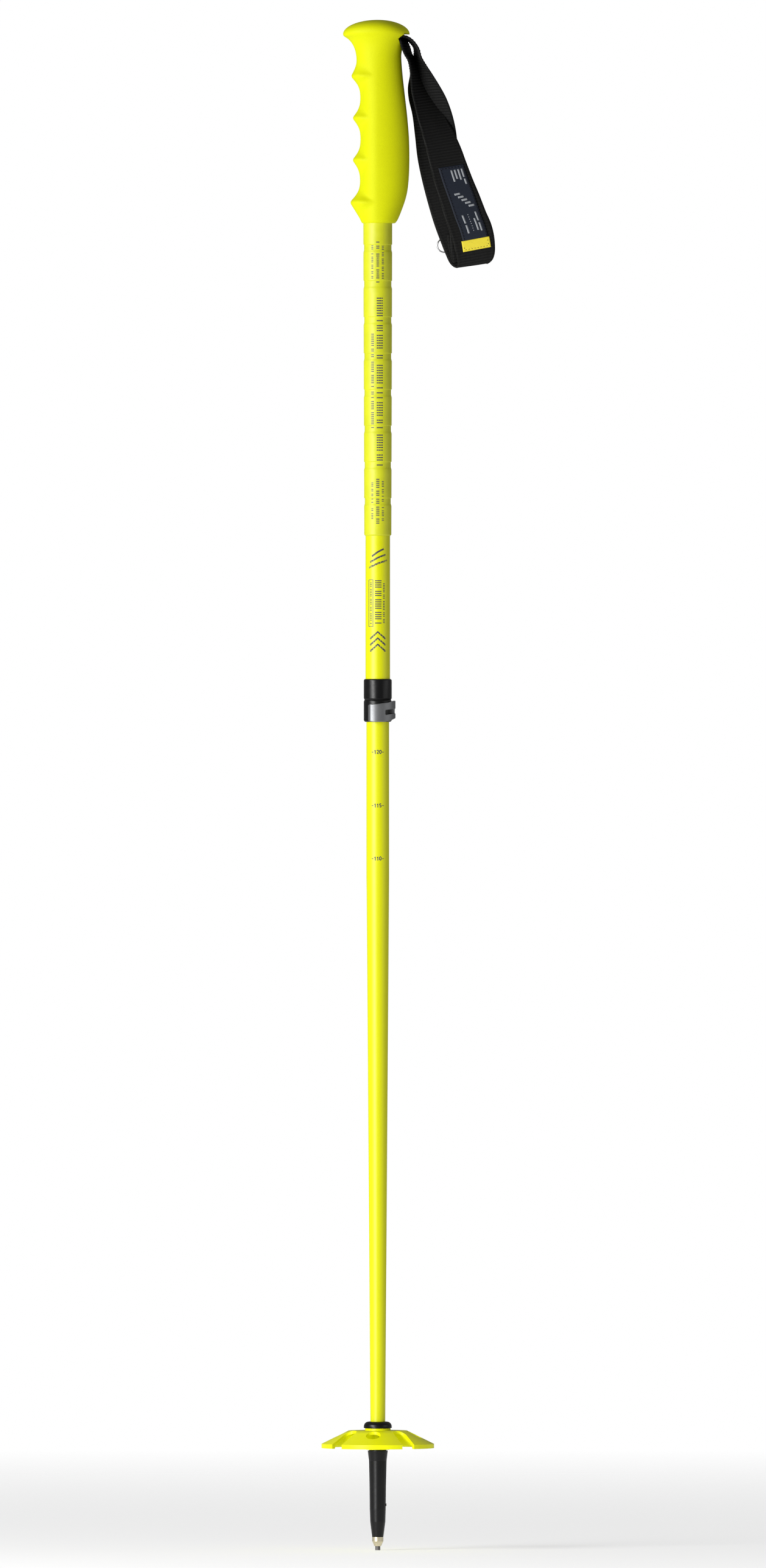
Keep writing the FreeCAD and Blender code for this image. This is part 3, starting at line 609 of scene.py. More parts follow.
def cut_grip(made):
    """Strap pocket under the rim on the +X side, and the bore that the sleeve and tube enter."""
    rim_z = GRIP_Z + RIM_UP * MM
    pocket_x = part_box("strap_end")[0].x
    sleeve_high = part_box("grip_sleeve")[1]
    tools = [
        mouth_cutter("pocket", pocket_x, pocket_x + POCKET_REACH * MM, rim_z),
        rod_cutter("bore", sleeve_high.x, GRIP_Z - 5 * MM, sleeve_high.z),
        rod_cutter("tube_bore", UPPER_R, GRIP_Z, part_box("upper_shaft_plug")[1].z),
    ]
    for tool in tools:
        cut = made.modifiers.new(tool.name, "BOOLEAN")
        cut.object = tool
        cut.operation = "DIFFERENCE"
        cut.solver = "EXACT"
    apply_modifiers(made)
    for tool in tools:
        bpy.data.objects.remove(tool)
    face_outwards(made)
    made.data.shade_smooth()


# ---------------------------------------------------------------- clamp lever
LEVER_VOXEL = 0.22
LEVER_ROUNDING = 16  # smoothing passes
LEVER_WALL = 2.5
LEVER_NOSE = 2.6  # length of the thinned free end
LEVER_NOSE_DROP = 1.2
LEVER_CORNER = 1.6


def build_lever():
    """The CAD lever as a cast one: every edge rounded, and its free end thinned to a nose."""
    cad = nodes["clamp_lever"]
    made = new_object("cast_lever", cad.data.copy())
    made.matrix_world = cad.matrix_world
    face_outwards(made)
    remesh = made.modifiers.new("remesh", "REMESH")
    remesh.mode = "VOXEL"
    remesh.voxel_size = LEVER_VOXEL * MM
    rounding = made.modifiers.new("rounding", "SMOOTH")
    rounding.factor = 0.5
    rounding.iterations = LEVER_ROUNDING
    apply_modifiers(made)
    front = [v for v in made.data.vertices if v.co.y < 0]
    end = min(v.co.x for v in front)
    outer = max(v.co.xy.length for v in front)
    wall = LEVER_WALL * MM
    nose = [v for v in front if v.co.x - end < LEVER_NOSE * MM]
    low = min(v.co.z for v in nose)
    high = max(v.co.z for v in nose)
    middle = (low + high) / 2
    corner = LEVER_CORNER * MM
    for v in nose:
        past = 1 - (v.co.x - end) / (LEVER_NOSE * MM)
        depth = max(0.0, (v.co.xy.length - (outer - wall)) / wall)
        v.co.xy *= 1 - LEVER_NOSE_DROP * MM * past ** 2 * depth / v.co.xy.length
        round_share = max(0.0, 1 - (v.co.x - end) / corner)
        drop = corner * (1 - math.sqrt(1 - min(1.0, round_share) ** 2))
        v.co.z = middle + (v.co.z - middle) * (1 - drop / (high - middle))
    set_finish(made, LEVER)
    made.data.shade_smooth()
    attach(made, "lever")
    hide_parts("clamp_lever")


# ---------------------------------------------------------------- wrist strap
RIBBON_STEPS = 900
WEBBING_STRIPS = 22
STRAP_CORE = 0.6  # half of the webbing's thickness, below its ribs
RIB_HEIGHT = 0.36
CHAIN_PITCH = 0.8 * RIB_PITCH
SELVAGE = 0.14  # share of the half width that each thick edge takes
EDGE_ROUND = 0.07
EDGE_SWELL = 0.22
CHAIN_SWELL = 0.18
WAVE_HEIGHT = 0.25
WAVE_LENGTH = 24.0
LABEL_RIB = 0.05
# The loop's two edges, from the pocket down the front strand, round the bottom and back up the
# rear one. Each station is (left x, y, z) and (right x, y, z) in millimetres from the pivot.
STRAP_EDGES = [
    ((-18.5, -8.6, 1.6), (-18.5, 8.6, 2.0)),
    ((-13.0, -9.6, 5.4), (-10.0, 9.2, 5.4)),
    ((-9.4, -10.2, 4.2), (-4.8, 9.6, 5.2)),
    ((-7.5, -10.3, -1.4), (-1.4, 9.8, -0.2)),
    ((-5.1, -10.4, -7.2), (0.4, 9.8, -6.3)),
    ((-1.9, -10.4, -12.8), (3.4, 9.8, -12.4)),
    ((-0.4, -10.3, -20.8), (8.0, 9.6, -19.6)),
    ((-0.1, -10.0, -28.8), (12.4, 8.8, -27.6)),
    ((0.6, -9.4, -38.2), (17.4, 7.4, -36.0)),
    ((2.6, -8.6, -47.6), (21.9, 5.4, -44.6)),
    ((5.4, -7.8, -59.4), (27.2, 3.0, -56.6)),
    ((9.4, -7.0, -73.6), (34.2, 1.0, -69.0)),
    ((12.6, -6.6, -86.0), (40.0, -0.6, -81.6)),
    ((15.4, -6.4, -97.6), (44.2, -1.8, -93.0)),
    ((19.3, -6.3, -112.6), (49.4, -2.6, -106.6)),
    ((23.8, -6.3, -127.0), (55.0, -3.4, -120.0)),
    ((27.6, -6.2, -140.2), (60.2, -3.8, -133.4)),
    ((30.6, -6.0, -149.0), (64.2, -4.0, -142.6)),
    ((33.4, -5.6, -157.6), (66.6, -4.0, -151.4)),
    ((35.6, -4.8, -166.4), (67.6, -3.4, -160.4)),
    ((37.2, -3.2, -173.0), (67.4, -2.6, -167.2)),
    ((37.0, -0.8, -177.2), (65.6, -1.0, -172.4)),
    ((34.4, 1.8, -178.0), (62.2, 1.0, -174.6)),
    ((31.0, 4.0, -174.6), (59.4, 3.0, -171.6)),
    ((28.0, 5.0, -168.2), (58.2, 4.2, -163.6)),
    ((24.8, 5.4, -160.2), (56.6, 4.6, -154.0)),
    ((17.9, 5.6, -141.2), (50.6, 4.8, -135.0)),
    ((10.7, 5.6, -115.6), (43.8, 4.8, -110.6)),
    ((5.6, 5.8, -92.4), (38.6, 4.6, -88.4)),
    ((3.2, 6.2, -72.0), (36.4, 3.6, -69.4)),
    ((1.2, 6.8, -56.0), (33.2, 1.6, -55.0)),
    ((-1.6, 7.8, -44.0), (28.6, -1.6, -42.4)),
    ((-2.5, 8.8, -34.0), (23.2, -4.6, -32.6)),
    ((-0.8, 9.4, -24.0), (17.4, -7.2, -23.6)),
    ((0.8, 9.8, -14.0), (12.2, -8.8, -16.4)),
    ((2.9, 9.8, -7.0), (8.2, -9.4, -10.2)),
    ((2.7, 9.8, -1.4), (6.2, -9.6, -3.6)),
    ((-0.4, 9.8, 2.8), (2.8, -9.7, 1.8)),
    ((-4.2, 9.6, 5.4), (-1.6, -9.6, 5.6)),
    ((-9.0, 9.2, 6.2), (-6.8, -9.2, 6.9)),
    ((-18.5, 8.6, 4.2), (-18.5, -8.6, 4.4)),
]
# the folded end of the webbing, sewn inside the bottom of the loop
LINING_EDGES = [
    ((30.6, -3.6, -146.0), (60.0, -2.0, -139.6)),
    ((31.2, -3.2, -155.0), (61.6, -1.8, -148.8)),
    ((32.0, -2.6, -164.0), (62.6, -1.6, -158.4)),
    ((33.2, -1.4, -171.2), (62.6, -1.0, -165.6)),
    ((33.4, 0.4, -174.4), (61.6, 0.4, -169.2)),
    ((31.6, 2.0, -170.6), (59.6, 2.0, -165.4)),
    ((30.0, 2.9, -162.0), (58.2, 2.6, -156.0)),
    ((28.6, 3.1, -152.0), (56.8, 2.8, -147.0)),
]


class Ribbon:
    """The webbing's middle surface, by millimetres along it and a share across it."""

    def __init__(self, edges, origin):
        self.left = spline([a for a, _ in edges], RIBBON_STEPS)
        self.right = spline([b for _, b in edges], RIBBON_STEPS)
        self.origin = origin
        middle = [(a + b) / 2 for a, b in zip(self.left, self.right)]
        self.along = [0.0]
        for p, q in zip(middle, middle[1:]):
            self.along.append(self.along[-1] + (q - p).length)
        self.length = self.along[-1]

    def index(self, along):
        """The step that holds a place along the ribbon, and the share of the way through it."""
        low = min(max(bisect_right(self.along, along) - 1, 0), len(self.along) - 2)
        step = self.along[low + 1] - self.along[low]
        return low, min(1.0, max(0.0, (along - self.along[low]) / step))

    def edge_points(self, along):
        k, t = self.index(along)
        return self.left[k].lerp(self.left[k + 1], t), self.right[k].lerp(self.right[k + 1], t)

    def flat(self, along, across):
        a, b = self.edge_points(along)
        return a.lerp(b, (across + 1) / 2)

    def normal(self, along, across):
        """Unit normal, which points out of the loop."""
        step = 1.5
        ahead = self.flat(min(self.length, along + step), across)
        behind = self.flat(max(0.0, along - step), across)
        a, b = self.edge_points(along)
        return (ahead - behind).cross(b - a).normalized()

    def width(self, along):
        a, b = self.edge_points(along)
        return (b - a).length

    def point(self, along, across, off):
        """A point off millimetres outside the middle surface, in metres."""
        p = self.flat(along, across) + self.normal(along, across) * off
        return self.origin + p * MM


def write_weave(obj, values):
    """Keep each point's place in the weave, as millimetres along and across."""
    for name, index in (("along_mm", 0), ("across_mm", 1)):
        layer = obj.data.attributes.new(name, "FLOAT", "POINT")
        layer.data.foreach_set("value", [v[index] for v in values])


def build_webbing(ribbon, name):
    """A run of webbing, with cross ribs, thick chain-like selvages and a little waviness."""
    # the shares lie closer together at the thick selvages
    shares = [math.sin(math.pi / 2 * (2 * i / WEBBING_STRIPS - 1)) for i in range(WEBBING_STRIPS + 1)]
    stations = int(ribbon.length / (RIB_PITCH / 6))
    points = []
    weave = []
    for i in range(stations + 1):
        along = ribbon.length * i / stations
        wide = ribbon.width(along)
        rib = 0.5 - 0.5 * math.cos(2 * math.pi * along / RIB_PITCH)
        chain = 0.5 - 0.5 * math.cos(2 * math.pi * along / CHAIN_PITCH)
        outer = []
        inner = []
        for share in shares:
            edge = max(0.0, 1 - (1 - abs(share)) / SELVAGE)
            swell = (EDGE_SWELL + CHAIN_SWELL * chain) * math.sin(math.pi * min(1.0, edge * 1.25))
            relief = RIB_HEIGHT * rib * (1 - edge) + swell
            wave = WAVE_HEIGHT * noise.noise(Vector((along / WAVE_LENGTH, share * 1.5, 3.0)))
            at_edge = max(0.0, 1 - (1 - abs(share)) / EDGE_ROUND)
            half = (STRAP_CORE + relief) * math.sqrt(max(0.0, 1 - at_edge ** 2))
            outer.append((share, wave + half))
            inner.append((share, wave - half))
        for share, off in outer + inner[-2:0:-1]:
            points.append(ribbon.point(along, share, off))
            weave.append((along, share * wide / 2))
    around = 2 * len(shares) - 2
    faces = ring_faces(stations + 1, around)
    last = stations * around
    faces.append(tuple(reversed(range(around))))
    faces.append(tuple(range(last, last + around)))
    made = piece(name, points, faces, WEBBING, "webbing")
    write_weave(made, weave)
    return made


def slab(ribbon, along, across, low, high, steps, soft=0.0, ribbed=False):
    """Points, faces and weave places of a thin closed panel that lies on the webbing.

    along and across are (from, to), and low and high are the heights of its two faces, in
    millimetres. The upper face drops by soft at its rim.
    """
    rows, columns = steps
    points = []
    weave = []
    for upper in (True, False):
        for i in range(rows + 1):
            a = along[0] + (along[1] - along[0]) * i / rows
            wide = ribbon.width(a) / 2
            for j in range(columns + 1):
                c = across[0] + (across[1] - across[0]) * j / columns
                lift = high if upper else low
                if upper and min(i, rows - i, j, columns - j) == 0:
                    lift -= soft
                if upper and ribbed:
                    lift += LABEL_RIB * math.sin(2 * math.pi * a / RIB_PITCH)
                points.append(ribbon.point(a, c / wide, lift))
                weave.append((a, c))
    count = columns + 1
    size = (rows + 1) * count
    faces = ring_faces(rows + 1, count, False)
    faces += [tuple(size + k for k in reversed(face)) for face in faces]
    rim = list(range(columns))
    rim += [i * count + columns for i in range(rows)]
    rim += [rows * count + j for j in range(columns, 0, -1)]
    rim += [i * count for i in range(rows, 0, -1)]
    for k, m in zip(rim, rim[1:] + rim[:1]):
        faces.append((m, k, size + k, size + m))
    return points, faces, weave


def patch(ribbon, name, finish, slot, *shape, **looks):
    """One slab as a piece."""
    points, faces, weave = slab(ribbon, *shape, **looks)
    made = piece(name, points, faces, finish, slot)
    write_weave(made, weave)
    face_outwards(made)
    return made


def stitch(ribbon, start, end, off, radius, sides=6, steps=6):
    """One raised stitch between two (along, across) places on the webbing."""
    ahead = (end - start).normalized()
    points = []
    for i in range(steps + 1):
        t = i / steps
        along, across = start.lerp(end, t)
        wide = ribbon.width(along) / 2
        swell = max(0.25, math.sin(math.pi * t)) * radius
        middle = ribbon.point(along, across / wide, off)
        normal = ribbon.normal(along, across / wide)
        beside = ribbon.point(along - ahead.y / 2, (across + ahead.x / 2) / wide, off)
        side = (beside - middle).normalized()
        for k in range(sides):
            angle = 2 * math.pi * k / sides
            points.append(middle + (side * math.cos(angle) + normal * math.sin(angle)) * swell * MM)
    faces = ring_faces(steps + 1, sides)
    faces.append(tuple(reversed(range(sides))))
    faces.append(tuple(range(steps * sides, (steps + 1) * sides)))
    return points, faces


def stitches(ribbon, name, slot, runs, off, radius, length, gap):
    """Rows of stitches: each run is (from, to), places given as (along, across)."""
    points = []
    faces = []
    for start, end in runs:
        total = math.dist(start, end)
        count = max(1, round(total / (length + gap)))
        half_gap = 0.5 * gap / (length + gap)
        for i in range(count):
            ends = [Vector(start).lerp(Vector(end), (i + at) / count) for at in (half_gap, 1 - half_gap)]
            more, made_faces = stitch(ribbon, *ends, off, radius)
            faces += [tuple(len(points) + k for k in face) for face in made_faces]
            points += more
    return piece(name, points, faces, DARK_THREAD, slot)


KEEPER_HALF = 2.5  # half of the tape's width
KEEPER_THICK = 0.45
KEEPER_GAP = 0.5  # from the ring's wire to the tape
KEEPER_TUCK = 1.5  # how much shorter the sewn ends are than in the CAD
KEEPER_ROWS = 9
KEEPER_BEND_STEPS = 24


def build_keeper():
    """Folded tape that holds the ring: a flat loop whose ends are sewn behind the webbing."""
    ring_low, ring_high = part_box("strap_ring")
    swing = joints["ring_swing"]
    pivot = Vector(swing["pos_m"])
    lean = Vector(swing["axis"]).normalized()
    out = lean.cross(Vector((0, 1, 0))).normalized()
    radius = (ring_high.y - ring_low.y) / 2 + KEEPER_GAP * MM
    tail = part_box("ring_keeper")[1].x - pivot.x - KEEPER_TUCK * MM
    path = [(-tail, -radius)]
    for i in range(KEEPER_BEND_STEPS + 1):
        angle = math.pi * (i / KEEPER_BEND_STEPS - 0.5)
        path.append((math.cos(angle) * radius, math.sin(angle) * radius))
    path.append((-tail, radius))
    points = []
    for k in range(KEEPER_ROWS):
        up = lean * (KEEPER_HALF * MM * (2 * k / (KEEPER_ROWS - 1) - 1))
        for spread, row in ((0.0, path), (KEEPER_THICK * MM, reversed(path))):
            for a, b in row:
                bend = max(a, 0.0)
                grow = 1 + spread / math.hypot(bend, b)
                place = out * (bend * grow + min(a, 0.0)) + Vector((0, b * grow, 0))
                points.append(pivot + place + up)
    around = 2 * len(path)
    faces = ring_faces(KEEPER_ROWS, around)
    for start in (0, (KEEPER_ROWS - 1) * around):
        for i in range(len(path) - 1):
            faces.append((start + i, start + i + 1, start + around - 2 - i, start + around - 1 - i))
    made = piece("keeper_tape", points, faces, TAPE, "tab")
    write_weave(made, [((p - pivot).dot(lean) / MM, (p - pivot).dot(out) / MM) for p in points])
    face_outwards(made, merge=False)
    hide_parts("ring_keeper")
    return made


# ---------------------------------------------------------------- prints
PRINT_THICK = 0.02 * MM
PRINT_EDGE = 0.8 * MM  # longest edge of a print's mesh
STEP_MARGIN = 0.4  # how far a bar stays from a step in the surface
STEP_DEPTH = 0.2 * MM
surfaces = {}


def projected(node, x, z, off):
    """The place on a node's front surface straight in front of (x, z), off metres proud of it."""
    if node not in surfaces:
        mesh = nodes[node].data
        corners = [v.co.copy() for v in mesh.vertices]
        surfaces[node] = BVHTree.FromPolygons(corners, [tuple(p.vertices) for p in mesh.polygons])
    in_front = Vector((x, cad_box[0][1] * 2, z))
    hit, normal, _, _ = surfaces[node].ray_cast(in_front, Vector((0, 1, 0)))
    if normal.y > 0:
        normal = -normal
    return hit + normal * off


def clears_steps(node, outline):
    """Whether a bar lies clear of the steps in a node's surface."""
    low = min(z for _, z in outline) - STEP_MARGIN
    high = max(z for _, z in outline) + STEP_MARGIN
    middle = sum(x for x, _ in outline) / len(outline)
    heights = (low, (low + high) / 2, high)
    depths = [projected(node, middle * MM, z * MM, 0.0).y for z in heights]
    return max(depths) - min(depths) < STEP_DEPTH


def wrap_print(obj, node):
    """Lay a flat shape drawn in X and Z onto the front of a node, as a thin closed skin."""
    made = bmesh.new()
    made.from_mesh(obj.data)
    bmesh.ops.triangulate(made, faces=made.faces)
    for _ in range(3):
        long_edges = [e for e in made.edges if e.calc_length() > PRINT_EDGE]
        if long_edges:
            bmesh.ops.subdivide_edges(made, edges=long_edges, cuts=1)
            bmesh.ops.triangulate(made, faces=made.faces)
    for v in made.verts:
        v.co = projected(node, v.co.x, v.co.z, PRINT_THICK)
    made.to_mesh(obj.data)
    made.free()
    shell = obj.modifiers.new("shell", "SOLIDIFY")
    shell.thickness = 3 * PRINT_THICK
    shell.offset = -1
    apply_modifiers(obj)
    face_outwards(obj)


def arc(x, z, half, rise, start, end, steps=14):
    """Places on an ellipse about (x, z), from one angle in degrees to another."""
    places = []
    for i in range(steps + 1):
        angle = math.radians(start + (end - start) * i / steps)
        places.append((x + half * math.cos(angle), z + rise * math.sin(angle)))
    return places


DIGIT_PITCH = 0.62
DIGIT_STROKE = 0.2
# each character as one stroke, in a cell 1 high and 0.6 wide
CHARACTERS = {
    "-": [(0.12, 0.44), (0.48, 0.44)],
    "0": arc(0.3, 0.5, 0.21, 0.4, 90, 450, 32),
    "1": [(0.12, 0.7), (0.24, 0.78), (0.33, 0.9), (0.33, 0.0)],
    "2": arc(0.29, 0.69, 0.2, 0.21, 170, -30) + [(0.11, 0.1), (0.3, 0.1), (0.52, 0.1)],
    "5": [(0.5, 0.9), (0.34, 0.9), (0.17, 0.9), (0.13, 0.48)] + arc(0.29, 0.34, 0.2, 0.25, 130, -150),
}


def number_shapes(text, height, z):
    """A number as strokes, centred in front of the pole's axis at a height, in millimetres."""
    made = []
    for i, character in enumerate(text):
        left = (i - len(text) / 2) * DIGIT_PITCH * height
        places = [(left + x * height, z + (up - 0.5) * height) for x, up in CHARACTERS[character]]
        made += stroke(places, DIGIT_STROKE * height)
    return made


def print_shapes(name, shapes, node, body):
    """Print flat polygons, each a list of (x, z) in millimetres, on the front of a node."""
    points = []
    faces = []
    for outline in shapes:
        start = len(points)
        points += [(x * MM, 0, z * MM) for x, z in outline]
        faces.append(tuple(range(start, start + len(outline))))
    made = mesh_object(name, points, faces)
    wrap_print(made, node)
    set_finish(made, INK)
    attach(made, body)


def bar(x0, x1, z0, z1):
    return [(x0, z0), (x1, z0), (x1, z1), (x0, z1)]


def rungs(x0, x1, top, bottom, groups, thick, pitch):
    """A column of short rungs from top to bottom, in groups whose counts repeat in turn."""
    made = []
    z = top
    group = 0
    while z > bottom + thick:
        for _ in range(groups[group % len(groups)]):
            if z > bottom + thick:
                made.append(bar(x0, x1, z - thick, z))
                z -= pitch
        z -= pitch
        group += 1
    return made


def outline_box(x0, x1, z0, z1, line):
    ends = [bar(x0, x1, z, z + line) for z in (z0, z1 - line)]
    return ends + [bar(x, x + line, z0 + line, z1 - line) for x in (x0, x1 - line)]


def stroke(places, width):
    """A line of one width through (x, z) places, as quads that share their corners."""
    sides = []
    for i, (x, z) in enumerate(places):
        x1, z1 = places[max(i - 1, 0)]
        x2, z2 = places[min(i + 1, len(places) - 1)]
        length = math.hypot(x2 - x1, z2 - z1)
        across = (-(z2 - z1) / length * width / 2, (x2 - x1) / length * width / 2)
        sides.append(((x + across[0], z + across[1]), (x - across[0], z - across[1])))
    return [[a, b, d, c] for (a, b), (c, d) in zip(sides, sides[1:])]


# ---------------------------------------------------------------- build
LABEL_DOWN = (97.5, 156.0)  # how far below the pivot the label starts and ends
LABEL_ACROSS = (-8.8, 11.8)
LABEL_OFF = 1.0
LABEL_THICK = 0.45
LABEL_INK_SINK = 0.07
LABEL_INK_THICK = 0.17
LABEL_INK_MESH = 0.8
TAB_LENGTH = 8.2
TAB_OVERLAP = 0.4
TAB_WIDER = (1.2, 1.0)
TAB_OFF = 1.1
TAB_THICK = 0.6
SEAM_INSET = 1.3
BLEND_FROM = (-2.5, 0.0, 1.5)  # millimetres from the pivot
BLEND_TO = (2.0, 0.0, -9.0)


def along_at(ribbon, down):
    """Millimetres along the ribbon at which the front strand is this far below the pivot."""
    for i, along in enumerate(ribbon.along):
        if (ribbon.left[i].z + ribbon.right[i].z) / 2 < -down:
            return along
    return ribbon.length / 2


def label_bars():
    """Bars woven into the label, as (down from, down to, across from, across to)."""
    bars = []
    for across, lengths in ((8.4, (7.2, 4.6)), (5.6, (9.0,)), (2.8, (7.8,)), (0.0, (9.6,))):
        down = 3.4
        for length in lengths:
            bars.append((down, down + length, across, across + 1.5))
            down += length + 1.4
    for i in range(5):
        bars.append((22.5 + 2.8 * i, 24.1 + 2.8 * i, 2.0 * i - 3.2, 2.0 * i + 1.4))
    for i in range(8):
        bars.append((41.0 + 1.9 * i, 41.7 + 1.9 * i, 1.6, 2.3))
    for across, wide, runs in (
        (7.6, 1.4, ((40.0, 47.5), (49.0, 56.0))),
        (5.0, 1.4, ((45.0, 55.0),)),
        (-3.2, 1.5, ((41.0, 48.0), (49.4, 56.4))),
    ):
        bars += [(low, high, across, across + wide) for low, high in runs]
    return bars


def build_label_graphics(ribbon, top):
    """Pale bars proud of the label's face, in place of its lettering."""
    low = LABEL_OFF + LABEL_THICK - LABEL_INK_SINK
    high = low + LABEL_INK_THICK
    points = []
    faces = []
    for down0, down1, across0, across1 in label_bars():
        sizes = (down1 - down0, across1 - across0)
        steps = [max(2, round(size / LABEL_INK_MESH)) for size in sizes]
        along = (top + down0, top + down1)
        more, made_faces, _ = slab(ribbon, along, (across0, across1), low, high, steps)
        faces += [tuple(len(points) + k for k in face) for face in made_faces]
        points += more
    made = piece("label_graphics", points, faces, LABEL_INK, "label")
    face_outwards(made, merge=False)
    return made


def build_strap():
    """The webbing loop with its lining, label, yellow tab, stitches and ring keeper."""
    ribbon = Ribbon(STRAP_EDGES, STRAP_PIVOT)
    webbing = build_webbing(ribbon, "strap_loop")
    lining = build_webbing(Ribbon(LINING_EDGES, STRAP_PIVOT), "strap_lining")
    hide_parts("strap_webbing", "strap_end")

    top, bottom = (along_at(ribbon, down) for down in LABEL_DOWN)
    left, right = LABEL_ACROSS
    label = patch(ribbon, "label_panel", LABEL, "label", (top, bottom), (left, right),
                  LABEL_OFF, LABEL_OFF + LABEL_THICK, (80, 24), soft=0.15, ribbed=True)
    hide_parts("strap_label")
    end = bottom + TAB_LENGTH
    across = (left - TAB_WIDER[0], right + TAB_WIDER[1])
    tab = patch(ribbon, "tab_panel", TAPE, "tab", (bottom - TAB_OVERLAP, end), across,
                TAB_OFF, TAB_OFF + TAB_THICK, (14, 32), soft=0.2)
    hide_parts("strap_tab")

    corners = [(top + SEAM_INSET, left + SEAM_INSET), (top + SEAM_INSET, right - SEAM_INSET)]
    label_seams = [(corner, (bottom - 0.6, corner[1])) for corner in corners] + [tuple(corners)]
    label_stitches = stitches(ribbon, "label_stitches", "label", label_seams,
                              off=1.5, radius=0.55, length=2.1, gap=0.45)
    low = left + 0.2
    high = right - 0.8
    tab_seams = [
        ((end - 1.5, low), (end - 1.5, high)),
        ((bottom + 0.8, high), (end - 1.6, high)),
        ((bottom + 4.0, low), (end - 1.6, low)),
    ]
    tab_stitches = stitches(ribbon, "tab_stitches", "tab", tab_seams,
                            off=1.72, radius=0.26, length=0.9, gap=1.6)
    graphics = build_label_graphics(ribbon, top)
    keeper = build_keeper()

    strap_pieces = [lining, label, tab, label_stitches, tab_stitches, graphics, keeper]
    for made in strap_pieces:
        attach(made, "strap")
    start, end = (tuple(STRAP_PIVOT + Vector(place) * MM) for place in (BLEND_FROM, BLEND_TO))
    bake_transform(webbing)


build_grip()
build_strap()
build_lever()

# printed scale on the lower tube
DIGIT_HEIGHT = 3.4
SCALE_MARKS = {110: 556.0, 115: 598.6, 120: 641.6}
for number, height in SCALE_MARKS.items():
    shapes = number_shapes(f"-{number}-", DIGIT_HEIGHT, height)
    print_shapes(f"scale_{number}", shapes, "lower_shaft", "lower")

# plain rungs, a frame, chevrons and slanted strokes, in place of the lettering
tube_shapes = rungs(-2.2, 3.0, 779.5, 743.0, (4, 3, 5), 0.8, 1.7)
tube_shapes += rungs(4.1, 5.6, 777.0, 744.0, (6, 3), 0.6, 1.3)
tube_shapes += outline_box(-7.3, -3.7, 742.0, 780.0, 0.4)
tube_shapes += rungs(-6.2, -4.8, 777.6, 744.4, (3, 5, 4), 0.6, 1.3)
for peak in (738.0, 733.0, 728.0):
    tube_shapes += stroke([(-6.2, peak - 5.6), (0.0, peak), (6.2, peak - 5.6)], 1.5)
for lift, reach in ((0.0, 7.4), (4.6, 6.2), (9.2, 4.8)):
    tube_shapes += stroke([(-reach, 789.5 + lift), (0.0, 793.0 + lift), (reach, 795.5 + lift)], 1.4)
print_shapes("tube_graphics", tube_shapes, "upper_shaft", "handle")

sleeve_shapes = rungs(-0.9, 4.1, 1006.5, 871.0, (8, 5, 6, 4), 0.9, 2.0)
sleeve_shapes += rungs(-5.3, -3.1, 977.5, 900.5, (7, 5), 0.7, 1.5)
for low, high in ((1018.0, 1051.5), (824.5, 861.0)):
    sleeve_shapes += rungs(-1.3, 1.3, high, low, (5, 7), 0.8, 1.6)
    sleeve_shapes += rungs(-5.2, -3.6, high - 3.0, low + 3.5, (3, 2, 4), 0.6, 1.3)
    sleeve_shapes += rungs(3.2, 4.9, high - 2.0, low + 2.5, (4, 3), 0.6, 1.3)
sleeve_shapes = [shape for shape in sleeve_shapes if clears_steps("grip_sleeve", shape)]
print_shapes("sleeve_graphics", sleeve_shapes, "grip_sleeve", "handle")


# ---------------------------------------------------------------- studio
def area_light(name, place, target, size, power):
    lamp = bpy.data.lights.new(name, "AREA")
    lamp.shape = "RECTANGLE"
    lamp.size, lamp.size_y = size
    lamp.energy = power
    holder = new_object(name, lamp)
    holder.location = place
    holder.rotation_euler = (Vector(target) - Vector(place)).to_track_quat("-Z", "Z").to_euler()


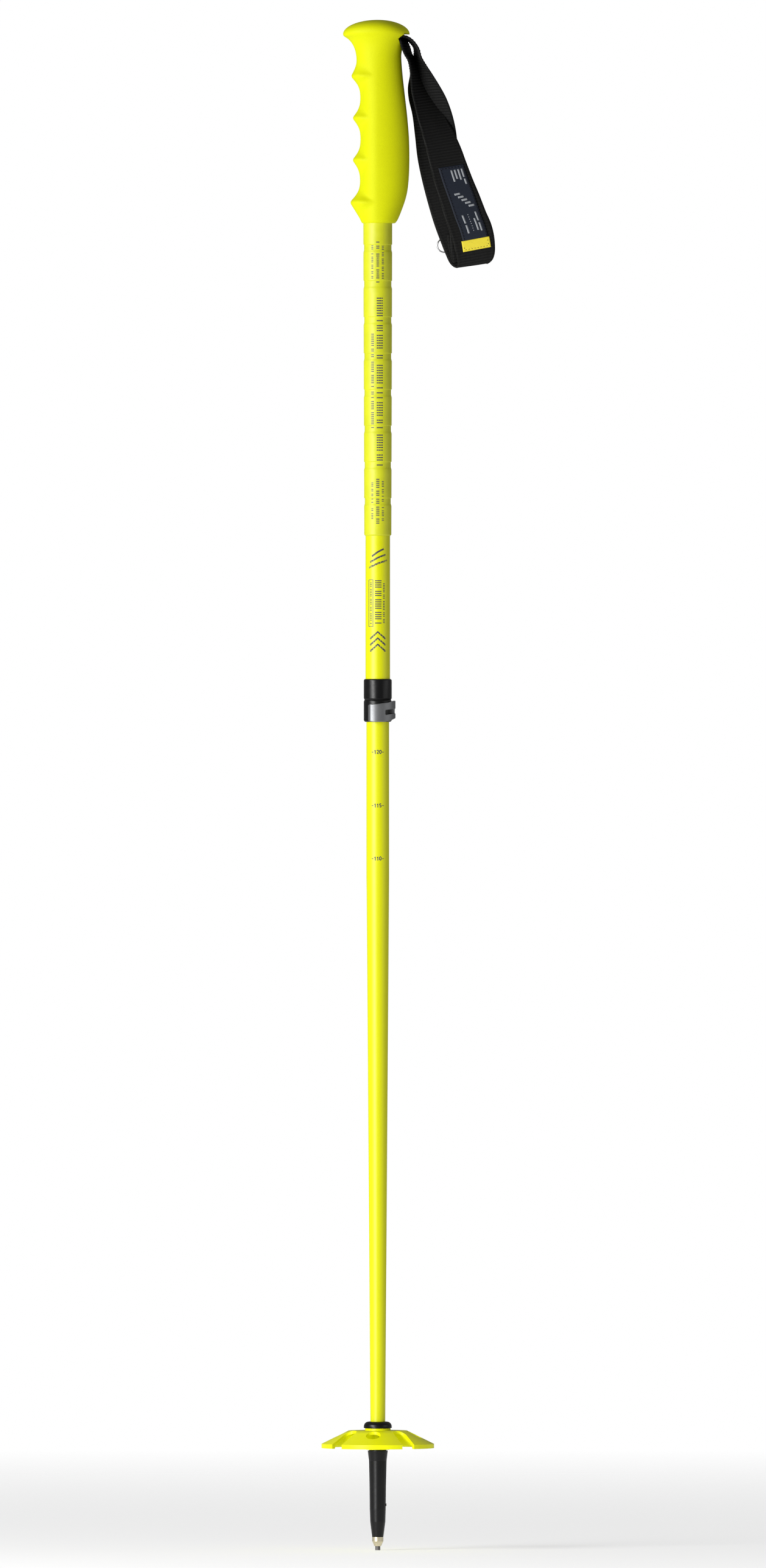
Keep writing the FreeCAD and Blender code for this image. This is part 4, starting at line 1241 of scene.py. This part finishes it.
def studio():
    """White surroundings, a tall soft light on the left front, and a pale floor that fades out."""
    scene = bpy.context.scene
    scene.view_settings.view_transform = "Standard"
    world = bpy.data.worlds.new("studio")
    scene.world = world
    world.use_nodes = True
    tree = world.node_tree
    shown = tree.nodes.new("ShaderNodeBackground")
    lighting = tree.nodes["Background"]
    for background, strength in ((lighting, 0.22), (shown, 1.0)):
        background.inputs["Color"].default_value = (1, 1, 1, 1)
        background.inputs["Strength"].default_value = strength
    path = tree.nodes.new("ShaderNodeLightPath")
    mix = tree.nodes.new("ShaderNodeMixShader")
    tree.links.new(path.outputs["Is Camera Ray"], mix.inputs["Fac"])
    tree.links.new(lighting.outputs[0], mix.inputs[1])
    tree.links.new(shown.outputs[0], mix.inputs[2])
    tree.links.new(mix.outputs[0], tree.nodes["World Output"].inputs["Surface"])

    middle = (0.0, 0.0, 0.62)
    area_light("key", (-1.9, -1.9, 0.9), middle, (0.8, 2.6), 90.0)
    area_light("side", (2.2, -0.7, 0.8), middle, (0.5, 2.4), 5.0)

    bpy.ops.mesh.primitive_circle_add(vertices=96, radius=5.0, fill_type="NGON")
    floor = bpy.context.object
    floor.name = "floor"
    pale = Finish("floor", (0.8, 0.8, 0.8, 1.0), 0.9)
    pale.shader.inputs["Emission Color"].default_value = (1, 1, 1, 1)
    pale.shader.inputs["Emission Strength"].default_value = 0.45
    distance = pale.node("ShaderNodeVectorMath", operation="LENGTH")
    pale.link(pale.place, distance.inputs[0])
    fade = pale.between(distance.outputs["Value"], 0.3, 3.0)
    clear = pale.node("ShaderNodeBsdfTransparent")
    mixed = pale.node("ShaderNodeMixShader")
    pale.link(fade, mixed.inputs["Fac"])
    pale.link(pale.shader.outputs[0], mixed.inputs[1])
    pale.link(clear.outputs[0], mixed.inputs[2])
    pale.link(mixed.outputs[0], pale.tree.nodes["Material Output"].inputs["Surface"])
    floor.data.materials.append(pale.material)


def camera():
    """A long lens far off, level with the middle of the pole, framed as the photograph is."""
    distance = 20.0
    view_height = 1.2603
    data = bpy.data.cameras.new("camera")
    data.sensor_width = 36.0
    data.lens = data.sensor_width * distance / view_height
    data.clip_end = 100.0
    holder = new_object("camera", data)
    holder.location = (0.0042, -distance, 0.6158)
    holder.rotation_euler = (math.pi / 2, 0, 0)
    bpy.context.scene.camera = holder


studio()
camera()
